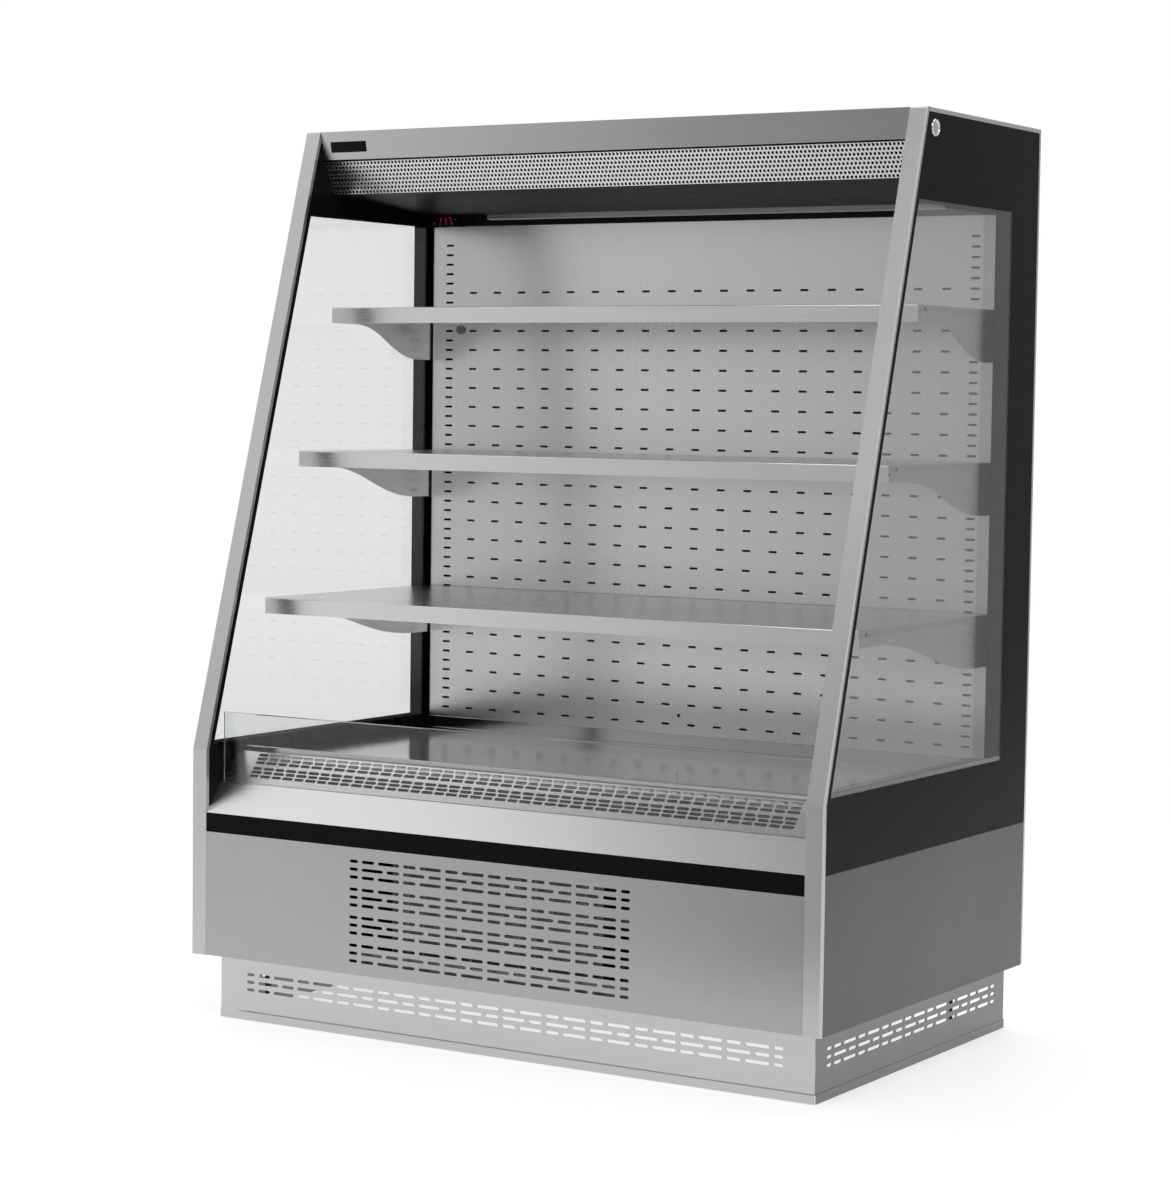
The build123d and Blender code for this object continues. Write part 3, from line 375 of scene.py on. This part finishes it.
# ---- Louvred front panel --------------------------------------------------------------------------
# A pull-off panel of brushed stainless sheet. Four groups of three slot rows let the air in to the
# condenser behind it; the middle row of each group starts with a long slot.
FIRST_LOUVER_ROW, GROUP_PITCH, LOUVER_SHIFT = 0.149, 0.0505, 0.0015
front_steel = stainless("front_steel", (3, 3, 520), 0.39)
low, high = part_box("louver_panel")
face = low[1]
holes = []
for group in range(4):
    for row in range(3):
        pattern = [LONG, SHORT] if row == 1 else [SHORT, LONG]
        v = FIRST_LOUVER_ROW + group * GROUP_PITCH + row * ROW_PITCH
        for u, length in slot_row(6, pattern, GAP, [END]):
            holes.append(stadium(u - LOUVER_SHIFT, v, length, SLOT_HEIGHT))
outline = [(low[0], low[2]), (high[0], low[2]), (high[0], high[2]), (low[0], high[2])]
sheet = punched(outline, holes, SHEET, basis((0, face + SHEET / 2, 0), (1, 0, 0), (0, 0, 1)))
deep = high[1]
flaps = [
    bent([(deep, low[2]), (face + SHEET, low[2])], SHEET, (low[0], high[0]), "X"),
    bent([(face + SHEET, high[2]), (deep, high[2])], SHEET, (low[0], high[0]), "X"),
]
louver = joined("louver_sheet", [sheet] + flaps, front_steel)
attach(louver, "louver_panel")
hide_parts("louver_panel")


# ---- Black band -----------------------------------------------------------------------------------
# A smooth black strip between the front panel and the bumper. The frames of the ends, the bare
# badge plate and the controller's housing have the same black.
BLACK_DARK, BLACK_LIGHT = (0.004, 0.004, 0.005), (0.008, 0.008, 0.009)
black = Finish("gloss_black", {"Specular IOR Level": 0.05})
black.drive("Base Color", black.blend(black.noise((5, 5, 5)), BLACK_DARK, BLACK_LIGHT))
black.drive("Roughness", 0.22 + black.noise((25, 25, 25)) * 0.10)
dress(black.data, "front_band")


# ---- Bumper and guard -----------------------------------------------------------------------------
# A folded stainless nose over the front of the tub. Its top edge is the channel in which a clear
# toughened guard stands, with polished edges that carry a painted glow. The ends are glazed with a clearer
# glass.
bumper_steel = stainless("bumper_steel", (3, 260, 260), 0.66)
dress(bumper_steel, "bumper_panel")
soften(0.0012, "bumper_panel")
clear, veiled = (
    Finish(name, {"Transmission Weight": 1.0, "IOR": 1.45, "Base Color": (*tint, 1.0)})
    for name, tint in (("clear_glass", (0.935, 0.945, 0.942)), ("guard_glass", (0.84, 0.85, 0.85)))
)
for glass in (clear, veiled):
    glass.drive("Roughness", glass.noise((4, 4, 4)) * 0.01)
# The guard's edge faces emit light: a painted highlight along the polished edges, not a lamp.
glass_edge_glow = Finish("glass_edge_painted_glow", {"Roughness": 0.2, "Emission Strength": 1.0})
glass_edge_glow.drive("Base Color", glass_edge_glow.blend(glass_edge_glow.noise((30, 30, 30)), (0.80, 0.83, 0.82), (0.90, 0.92, 0.91)))
glass_edge_glow.drive("Emission Color", glass_edge_glow.blend(glass_edge_glow.noise((9, 9, 9)), (0.80, 0.84, 0.82), (0.92, 0.94, 0.93)))
ARRIS = 0.0014
low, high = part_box("glass_guard")
pane = bmesh.new()
bmesh.ops.create_cube(pane, size=1.0)
bmesh.ops.scale(pane, vec=[b - a for a, b in zip(low, high)], verts=pane.verts)
bmesh.ops.translate(pane, vec=[(b + a) / 2 for a, b in zip(low, high)], verts=pane.verts)
bmesh.ops.bevel(pane, geom=pane.edges[:], offset=ARRIS, segments=2, affect="EDGES", profile=0.5)
for face in pane.faces:
    face.material_index = 0 if abs(face.normal.y) > 0.9 else 1
pane_mesh = bpy.data.meshes.new("guard")
pane.to_mesh(pane_mesh)
pane.free()
guard = joined("guard_pane", [pane_mesh], veiled.data, glass_edge_glow.data)
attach(guard, "glass_guard")
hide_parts("glass_guard")


# ---- Return grille --------------------------------------------------------------------------------
# A sloping stainless grille with two groups of three slot rows, which takes the air curtain back
# under the deck. It lifts out for cleaning.
low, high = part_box("return_grille")
FLAT, DROP, RISE = 0.012, 0.012, 0.053
RETURN_LONG, RETURN_SHORT, RETURN_GAP, RETURN_HEIGHT = 0.0245, 0.021, 0.0032, 0.0062
FIRST_RETURN_ROW, RETURN_GROUP, RETURN_ROW = 0.0162, 0.0295, 0.0084
run_y = high[1] - FLAT - low[1]
slope = math.hypot(run_y, RISE)
tilt = (0, run_y / slope, RISE / slope)
start = (0, low[1], high[2] - RISE)
field = basis(start, (1, 0, 0), tilt) @ Matrix.Translation((0, 0, -SHEET / 2))
holes = []
for group in range(2):
    for row in range(3):
        pattern = [RETURN_LONG, RETURN_SHORT] if row == 1 else [RETURN_SHORT, RETURN_LONG]
        v = FIRST_RETURN_ROW + group * RETURN_GROUP + row * RETURN_ROW
        for u, length in slot_row(22, pattern, RETURN_GAP, []):
            holes.append(stadium(u, v, length, RETURN_HEIGHT))
x0, x1 = low[0], high[0]
sheet = punched([(x0, 0), (x1, 0), (x1, slope), (x0, slope)], holes, SHEET, field)
foot = [(low[1], low[2]), (low[1], start[2])]
head = [(high[1] - FLAT, high[2]), (high[1], high[2]), (high[1], high[2] - DROP)]
grille_steel = stainless("grille_steel", (4, 300, 300), 0.76)
flaps = [bent(line, SHEET, (x0, x1), "X") for line in (foot, head)]
grille = joined("return_grille_sheet", [sheet] + flaps, grille_steel)
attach(grille, "return_grille")
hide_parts("return_grille")


# ---- Deck -----------------------------------------------------------------------------------------
# A lift-out tray of stainless sheet with a raised front lip and a rear upstand. It lies loose on its
# rails over the evaporator, and its brushed top mirrors the glass of the ends.
deck_steel = stainless("deck_steel", (420, 3, 420), 0.50, 0.12)
dress(deck_steel, "deck_tray")
soften(0.0008, "deck_tray")


# ---- Back panel -----------------------------------------------------------------------------------
# Thin stainless panel in front of the air duct. Small slots in a wide grid bleed cold air over the
# shelves, with a closer column of slots near each side and one round hole near the foot.
low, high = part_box("back_panel")
outline = [(low[0], low[2]), (high[0], low[2]), (high[0], high[2]), (low[0], high[2])]
SHIFT, BOTTOM, PITCH = 0.001, 0.5325, 0.01898
COLUMN_PITCH, EDGE_COLUMN, BLEED = 0.0574, 0.5736, (0.018, 0.0042)
holes = []
for column in range(19):
    for row in range(23):
        holes.append(stadium(SHIFT + (column - 9) * COLUMN_PITCH, BOTTOM + row * 2 * PITCH, *BLEED))
for side in (-1, 1):
    for row in range(50):
        holes.append(stadium(SHIFT + side * EDGE_COLUMN, BOTTOM + row * PITCH, *BLEED))
ROUND_HOLE = (-0.027, 0.55, 0.0071, 0.007)
holes.append(stadium(*ROUND_HOLE))
back_steel = stainless("back_steel", (300, 300, 4), 0.70)
sheet = punched(outline, holes, SHEET, basis((0, low[1] + SHEET / 2, 0), (1, 0, 0), (0, 0, 1)))
back = joined("back_sheet", [sheet], back_steel)
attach(back, "cabinet")
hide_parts("back_panel")


# ---- Uprights -------------------------------------------------------------------------------------
# Black powder-coated posts with a slot every 25 mm for the hooks of the shelf brackets. The ceiling
# of the canopy is coated in the same way.
powder = Finish("black_powder_coat", {"Specular IOR Level": 0.1})
powder.drive("Base Color", powder.blend(powder.noise((20, 20, 20)), (0.005,) * 3, (0.009,) * 3))
powder.drive("Roughness", 0.42 + powder.noise((35, 35, 35)) * 0.12)
powder.drive("Normal", powder.bump(powder.noise((1200, 1200, 1200)), 0.18, 0.0002))
dress(powder.data, "uprights", "canopy_ceiling")


# ---- Probe ----------------------------------------------------------------------------------------
# The controller's temperature probe, a small grey plastic body clipped to the back panel, with its
# edges rounded by the mould.
plastic = Finish("grey_plastic", {"Roughness": 0.4})
plastic.drive("Base Color", plastic.blend(plastic.noise((90, 90, 90)), (0.20,) * 3, (0.26,) * 3))
dress(plastic.data, "probe")
soften(0.0015, "probe")


# ---- Shelves --------------------------------------------------------------------------------------
# Each shelf is a folded stainless tray with a deep lip and a rivet in each side. It lies on two
# plate brackets whose lower edges sweep down to hooks in the uprights.
def turned(profile, place, steps=24):
    """Mesh of a profile of (radius, height) points, turned about its axis."""
    shape = bmesh.new()
    line = [shape.verts.new((radius, 0, height)) for radius, height in profile]
    edges = [shape.edges.new(pair) for pair in zip(line, line[1:])]
    bmesh.ops.spin(shape, geom=line + edges, axis=(0, 0, 1), angle=2 * math.pi, steps=steps, use_merge=True)
    bmesh.ops.remove_doubles(shape, verts=shape.verts[:], dist=0.000001)
    bmesh.ops.recalc_face_normals(shape, faces=shape.faces[:])
    mesh = bpy.data.meshes.new("turned")
    shape.to_mesh(mesh)
    shape.free()
    mesh.shade_smooth()
    mesh.set_sharp_from_angle(angle=math.radians(40))
    mesh.transform(place)
    return mesh


shelf_steel = stainless("shelf_steel", (3, 380, 380), 0.70)
bracket_steel = stainless("bracket_steel", (120, 120, 120), 0.80)
RIVET = [(0.0032, 0), (0.003, 0.0006), (0.0018, 0.0011), (0, 0.0013)]
RIVET_BACK, RIVET_DROP = 0.031, 0.0075
for level in ("top", "middle", "bottom"):
    tray = "shelf_tray_" + level
    dress(shelf_steel, tray)
    dress(bracket_steel, "shelf_brackets_" + level)
    soften(0.0008, tray)
    low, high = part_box(tray)
    heads = []
    for side, x in ((1, high[0]), (-1, low[0])):
        spot = (x, low[1] + RIVET_BACK, high[2] - RIVET_DROP)
        heads.append(turned(RIVET, basis(spot, (0, side, 0), (0, 0, 1))))
    rivets = joined("shelf_rivets_" + level, heads, moulded.data)
    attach(rivets, tray)


# ---- Canopy ---------------------------------------------------------------------------------------
# A stainless fascia with a bare plate, over the perforated strip that blows the air curtain, and a
# lamp with an alloy channel and a milky cover under the rear of the ceiling.
fascia_steel = stainless("fascia_steel", (3, 300, 300), 0.42)
dress(fascia_steel, "fascia")
soften(0.0010, "fascia")
dress(black.data, "badge_plate")
low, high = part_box("air_outlet_grille")
HOLE, HOLE_PITCH, HOLE_ROW, STAGGER, SIDES = 0.0061, 0.008, 0.0082, 0.225, 8
OUTLET_GAUGE = 0.001
fall = math.hypot(high[1] - low[1], high[2] - low[2])
outlet = bmesh.new()
rows = round(fall / HOLE_ROW)
row_height = fall / rows
columns = int((high[0] - low[0]) / HOLE_PITCH)
cell = (high[0] - low[0]) / columns
for row in range(rows):
    shift = STAGGER if row % 2 else -STAGGER
    for column in range(columns):
        u0, v0 = low[0] + column * cell, row * row_height
        centre = (u0 + cell * (0.5 + shift), v0 + row_height / 2)
        rim = []
        for i in range(SIDES):
            turn = 2 * math.pi * (i + 0.5) / SIDES
            point = (centre[0] + HOLE / 2 * math.cos(turn), centre[1] + HOLE / 2 * math.sin(turn), 0)
            rim.append(outlet.verts.new(point))
        u1, v1 = u0 + cell, v0 + row_height
        corners = [outlet.verts.new((u, v, 0)) for u, v in ((u1, v1), (u0, v1), (u0, v0), (u1, v0))]
        for i in range(4):
            a, b, c = rim[2 * i - 1], rim[2 * i], rim[2 * i + 1]
            outlet.faces.new((corners[i - 1], corners[i], b, a))
            outlet.faces.new((corners[i], c, b))
outlet_mesh = bpy.data.meshes.new("outlet")
outlet.to_mesh(outlet_mesh)
outlet.free()
down = Vector((0, high[1] - low[1], low[2] - high[2]))
outlet_mesh.transform(basis((0, low[1], high[2]), (1, 0, 0), down))
outlet_steel = stainless("outlet_steel", (200, 200, 200), 0.66)
outlet_strip = joined("outlet_strip", [outlet_mesh], outlet_steel)
thick = outlet_strip.modifiers.new("gauge", "SOLIDIFY")
thick.thickness = OUTLET_GAUGE
thick.offset = 0
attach(outlet_strip, "cabinet")
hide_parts("air_outlet_grille")
alloy = sheet_steel("satin_alloy", (0.55, 0.55, 0.56), (0.64, 0.64, 0.64), 0.32, (300, 300, 3))
dress(alloy, "lamp_housing")
glow = Finish("lamp_cover", {"Roughness": 0.5, "Emission Strength": 0.06})
glow.drive("Base Color", glow.blend(glow.noise((6, 6, 6)), (0.82, 0.84, 0.86), (0.88, 0.90, 0.92)))
glow.drive("Emission Color", glow.blend(glow.noise((12, 12, 12)), (0.80, 0.86, 0.92), (0.86, 0.92, 0.98)))
dress(glow.data, "lamp_diffuser")


# ---- Controller -----------------------------------------------------------------------------------
# A black controller on the strip under the ceiling, with a dark red window, three plain digits, an
# indicator lens, and four keys with plain marks over them.
WINDOW_DARK, WINDOW_LIGHT = (0.02, 0.002, 0.002), (0.03, 0.003, 0.003)
window = Finish("display_window", {"Coat Weight": 0.5, "Coat Roughness": 0.05, "Roughness": 0.12})
window.drive("Base Color", window.blend(window.noise((80, 80, 80)), WINDOW_DARK, WINDOW_LIGHT))
dress(black.data, "controller_housing")
dress(window.data, "controller_display")
dress(moulded.data, "key_set", "key_up", "key_down", "key_light")
soften(0.0006, "controller_housing", "key_set", "key_up", "key_down", "key_light")


INK = 0.0001


def patches(name, places, y, material):
    """Thin flat marks that face the front, from (x0, x1, z0, z1) places."""
    shape = bmesh.new()
    for x0, x1, z0, z1 in places:
        shape.faces.new([shape.verts.new(c) for c in ((x0, y, z0), (x1, y, z0), (x1, y, z1), (x0, y, z1))])
    mesh = bpy.data.meshes.new(name)
    shape.to_mesh(mesh)
    shape.free()
    thing = joined(name, [mesh], material)
    gauge = thing.modifiers.new("gauge", "SOLIDIFY")
    gauge.thickness = INK
    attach(thing, "cabinet")


lit = Finish("red_segments", {"Roughness": 0.4, "Emission Strength": 1.0})
lit.drive("Base Color", lit.blend(lit.noise((200, 200, 200)), (0.30, 0.01, 0.02), (0.40, 0.02, 0.03)))
lit.drive("Emission Color", lit.blend(lit.noise((400, 400, 400)), (0.45, 0.01, 0.03), (0.80, 0.03, 0.06)))
low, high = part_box("controller_display")
DIGIT_WIDTH, DIGIT_HEIGHT, BAR, DIGIT_START, DIGIT_PITCH = 0.0042, 0.0074, 0.0008, 0.0065, 0.0118
SEGMENTS = {"top": (0, 1, 1, 1), "upper": (1, 1, 0.5, 1), "lower": (1, 1, 0, 0.5)}
ONE, SEVEN = ("upper", "lower"), ("top", "upper", "lower")
strokes = []
for index, names in enumerate((ONE, ONE, SEVEN)):
    x0 = low[0] + DIGIT_START + index * DIGIT_PITCH
    z0 = (low[2] + high[2] - DIGIT_HEIGHT) / 2
    for key in names:
        u0, u1, v0, v1 = SEGMENTS[key]
        strokes.append((
            x0 + u0 * DIGIT_WIDTH - BAR / 2, x0 + u1 * DIGIT_WIDTH + BAR / 2,
            z0 + v0 * DIGIT_HEIGHT - BAR / 2, z0 + v1 * DIGIT_HEIGHT + BAR / 2,
        ))
patches("display_digits", strokes, low[1] - INK, lit.data)
pale = Finish("pale_print", {"Roughness": 0.5})
pale.drive("Base Color", pale.blend(pale.noise((300, 300, 300)), (0.34,) * 3, (0.48,) * 3))
MARK_START, MARK_END, MARK_PITCH, MARK_LOW, MARK_HIGH = 0.001, 0.0025, 0.0024, 0.0006, 0.0016
marks = []
for key in ("key_set", "key_up", "key_down", "key_light"):
    low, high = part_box(key)
    for i in range(3):
        x = low[0] + i * MARK_PITCH
        marks.append((x + MARK_START, x + MARK_END, high[2] + MARK_LOW, high[2] + MARK_HIGH))
low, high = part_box("controller_housing")
patches("key_marks", marks, low[1] - INK, pale.data)
LENS = [(0.0014, 0), (0.0011, 0.0004), (0, 0.0006)]
LENS_IN, LENS_DROP = 0.011, 0.006
spot = (high[0] - LENS_IN, low[1], high[2] - LENS_DROP)
dot = joined("indicator_lens", [turned(LENS, basis(spot, (1, 0, 0), (0, 0, 1)))], pale.data)
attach(dot, "cabinet")


# ---- Ends -----------------------------------------------------------------------------------------
# Each end has a steel panel at its foot and double glazing above it in a black border, with black
# spacer bars between the panes. A bright hollow trim covers the front edge, a thin capping the top
# and the rear, and a domed cap in a ring closes a hole near the top.
# The end panels' steel is toned far darker than the other stainless: painted shade on the ends.
end_painted_shade_steel = stainless("end_painted_shade_steel", (3, 3, 520), 0.10)
trim_alloy = stainless("trim_steel", (300, 300, 3), 0.50)
cap_alloy = stainless("cap_steel", (160, 160, 160), 0.66)
for side in ("left", "right"):
    dress(end_painted_shade_steel, "side_panel_" + side)
    dress(black.data, "side_frame_" + side)
    dress(clear.data, "side_glass_" + side)
    dress(trim_alloy, "front_trim_" + side)
soften(0.0010, "front_trim_left", "front_trim_right", "edge_caps")
dress(cap_alloy, "edge_caps")
plug_chrome = sheet_steel("plug_ring", (0.70, 0.70, 0.70), (0.82, 0.82, 0.82), 0.12, (90, 90, 90))
low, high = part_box("side_plugs")
plug_y, plug_z = (low[1] + high[1]) / 2, (low[2] + high[2]) / 2
PROUD = 0.003
RING = [(0.015, 0), (0.015, 0.002), (0.0142, PROUD), (0.0128, PROUD), (0.0122, 0.0014)]
DOME = [(0.0122, 0.0014), (0.0108, 0.0022), (0.0075, 0.0027), (0.004, 0.0029), (0, PROUD)]
plugs = []
for side, face in ((1, high[0] - PROUD), (-1, low[0] + PROUD)):
    place = basis((face, plug_y, plug_z), (0, side, 0), (0, 0, 1))
    plugs += [turned(RING, place, 40), tinted(turned(DOME, place, 40), 1)]
caps = joined("side_plug_caps", plugs, plug_chrome, black.data)
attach(caps, "cabinet")
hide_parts("side_plugs")
LEAN, PANE, BAR_MARGIN, BAR_WIDTH, PLAY = 0.334 / 1.155, 0.004, 0.0003, 0.0015, 0.0004
butyl = Finish("black_spacer", {"Roughness": 0.9, "IOR": 1.0})
butyl.drive("Base Color", butyl.blend(butyl.noise((50, 50, 50)), (0.010,) * 3, (0.016,) * 3))


def window_loop(low, high, margin):
    """Outline of the window in (y, z), brought in by a margin on every side."""
    front_margin = margin * math.hypot(1, LEAN)
    z0, z1 = low[2] + margin, high[2] - margin
    return [
        (low[1] + (z0 - low[2]) * LEAN + front_margin, z0), (high[1] - margin, z0),
        (high[1] - margin, z1), (low[1] + (z1 - low[2]) * LEAN + front_margin, z1),
    ]


for side in ("left", "right"):
    low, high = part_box("side_glass_" + side)
    outer, inner = (window_loop(low, high, margin) for margin in (BAR_MARGIN, BAR_WIDTH))
    middle = basis(((low[0] + high[0]) / 2, 0, 0), (0, 1, 0), (0, 0, 1))
    frame_bars = punched(outer, [inner], high[0] - low[0] - 2 * PANE - PLAY, middle)
    spacer = joined("window_spacer_" + side, [frame_bars], butyl.data)
    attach(spacer, "cabinet")


# ---- Studio ---------------------------------------------------------------------------------------
# A pale floor that fades into a white surround, soft light from above and the front, and cards out
# of the picture that the metal reflects. The two cards near the floor show in reflections only.
def rays(finish, *kinds):
    return [finish.node("ShaderNodeLightPath", {}, {}, kind) for kind in kinds]


def seen(finish):
    """1 for rays that show a surface to the camera, straight, mirrored or through glass."""
    direct, mirrored, through = rays(finish, "Is Camera Ray", "Is Glossy Ray", "Is Transmission Ray")
    return direct.most(mirrored).most(through)


FLOOR_RADIUS, FLOOR_FADE, FADE_END = 4.0, 0.28, 0.5
ground = Finish("studio_floor", {"Roughness": 0.6, "Specular IOR Level": 0.1, "Emission Strength": 0.68})
narrowed = {0: ground.place(), 1: (FLOOR_FADE,) * 3}
shrink = ground.node("ShaderNodeVectorMath", {"operation": "MULTIPLY"}, narrowed)
spot = ground.node("ShaderNodeTexGradient", {"gradient_type": "SPHERICAL"}, {"Vector": shrink}, "Fac")
fade = {"Value": spot, "From Max": FADE_END}
ground.drive("Base Color", ground.blend(ground.noise((2, 2, 2)), (0.48,) * 3, (0.50,) * 3))
ground.drive("Emission Color", ground.blend(seen(ground), (0, 0, 0), (1, 1, 1)))
ground.drive("Alpha", ground.node("ShaderNodeMapRange", {"interpolation_type": "SMOOTHSTEP"}, fade))
floor_mesh = bpy.data.meshes.new("studio_floor")
floor_shape = bmesh.new()
bmesh.ops.create_circle(floor_shape, cap_ends=True, segments=64, radius=FLOOR_RADIUS)
floor_shape.to_mesh(floor_mesh)
floor_shape.free()
floor_mesh.materials.append(ground.data)
studio_floor = bpy.data.objects.new("studio_floor", floor_mesh)
bpy.context.collection.objects.link(studio_floor)

world = Finish("studio_white", {"Strength": 1.0}, "worlds", "Background")
world.drive("Color", world.blend(seen(world), (0.62,) * 3, (1, 1, 1)))
bpy.context.scene.world = world.data


def lamp(name, place, target, size, power):
    light = bpy.data.lights.new(name, "AREA")
    light.shape = "RECTANGLE"
    light.size, light.size_y = size
    light.energy = power
    thing = bpy.data.objects.new(name, light)
    thing.location = place
    thing.rotation_euler = (Vector(target) - Vector(place)).to_track_quat("-Z", "Y").to_euler()
    bpy.context.collection.objects.link(thing)


lamp("key_light", (0.6, -3.4, 4.4), (0, 0, 0.8), (2.6, 2.2), 60)
lamp("top_light", (0.4, 1.0, 4.4), (0, 0, 0), (3.0, 3.0), 45)


def card(name, origin, across, up, low, high, shades, lights=True):
    """A card that gives the metal something to reflect: its greys, as (place, grey), run along u.
    It is as white as the surround where it is seen straight through glass."""
    corners = [(low[0], low[1]), (high[0], low[1]), (high[0], high[1]), (low[0], high[1])]
    stops = [(place, (grey,) * 3) for place, grey in shades]
    mesh = bpy.data.meshes.new(name)
    shape = bmesh.new()
    shape.faces.new([shape.verts.new((u, v, 0)) for u, v in corners])
    shape.to_mesh(mesh)
    shape.free()
    finish = Finish(name, {"Roughness": 1.0, "Specular IOR Level": 0.0, "Emission Strength": 1.0,
                           "Base Color": (0, 0, 0, 1)})
    across_card = finish.node("ShaderNodeSeparateXYZ", {}, {0: finish.place()}, 0)
    along = (across_card - low[0]) * (1 / (high[0] - low[0]))
    shade = finish.node("ShaderNodeValToRGB", {"stops": stops}, {0: along})
    through, glossy, diffuse = rays(finish, "Is Transmission Ray", "Glossy Depth", "Diffuse Depth")
    straight = through * (glossy + diffuse < 0.5)
    finish.drive("Emission Color", finish.node(
        "ShaderNodeMix", {"data_type": "RGBA"}, {0: straight, 6: shade, 7: (1, 1, 1, 1)}, 2
    ))
    mesh.materials.append(finish.data)
    thing = bpy.data.objects.new(name, mesh)
    thing.matrix_world = basis(origin, across, up)
    thing.visible_camera = False
    thing.visible_diffuse = thing.visible_shadow = thing.visible_transmission = lights
    bpy.context.collection.objects.link(thing)


card("side_flag", (2.5, 0, 0), (0, 1, 0), (0, 0, 1), (-0.4, 0), (8.0, 3.4), [(0.0, 0.36), (1.0, 0.46)])
FACING, LYING = ((-1, 0, 0), (0, 0, 1)), ((-1, 0, 0), (0, -1, 0))
card("front_card", (0, -6.5, 0), *FACING, (-6.0, 0), (9.0, 7.0),
     [(0.0, 0.42), (0.56, 0.46), (0.68, 0.66), (0.77, 0.84), (1.0, 0.88)])
card("low_card", (0, 0, 0.012), *LYING, (-1.0, 3.6), (7.5, 8.0),
     [(0.0, 0.16), (0.34, 0.26), (0.50, 0.62), (0.66, 1.48), (1.0, 1.60)], lights=False)
card("near_card", (0, 0, 0.006), *LYING, (-1.5, 1.35), (3.5, 3.5),
     [(0.0, 0.28), (0.30, 0.36), (0.45, 0.88), (0.58, 1.0), (1.0, 1.0)], lights=False)
card("soft_box", (0, -6.4, 0), *FACING, (0.5, 4.1), (7.0, 5.3), [(0.0, 1.05), (1.0, 1.05)])
card("top_card", (0, 0, 5.2), *LYING, (-3.0, -3.0), (6.0, 4.5),
     [(0.0, 0.15), (0.58, 0.26), (0.72, 1.15), (1.0, 1.20)])


# ---- Camera ---------------------------------------------------------------------------------------
# The photograph's viewpoint, from a fit to the edges of the right-hand end and the front: a long
# lens, a little above the middle of the case, to the right of it.
camera_data = bpy.data.cameras.new("camera")
camera_data.lens, camera_data.sensor_width = 90.94, 36.0
camera = bpy.data.objects.new("camera", camera_data)
bpy.context.collection.objects.link(camera)
EYE = (2.8882, -4.7634, 1.1563)
AZIMUTH, TILT, ROLL = math.radians(31.73), math.radians(3.77), math.radians(0.77)
forward = Vector((
    -math.sin(AZIMUTH) * math.cos(TILT), math.cos(AZIMUTH) * math.cos(TILT), -math.sin(TILT)
))
right = Vector((math.cos(AZIMUTH), math.sin(AZIMUTH), 0))
up = right.cross(forward)
rolled_right = math.cos(ROLL) * right + math.sin(ROLL) * up
rolled_up = math.cos(ROLL) * up - math.sin(ROLL) * right
turn = Matrix((rolled_right, rolled_up, -forward)).transposed().to_4x4()
camera.matrix_world = Matrix.Translation(EYE) @ turn
bpy.context.scene.camera = camera
bpy.context.scene.view_settings.view_transform = "Standard"
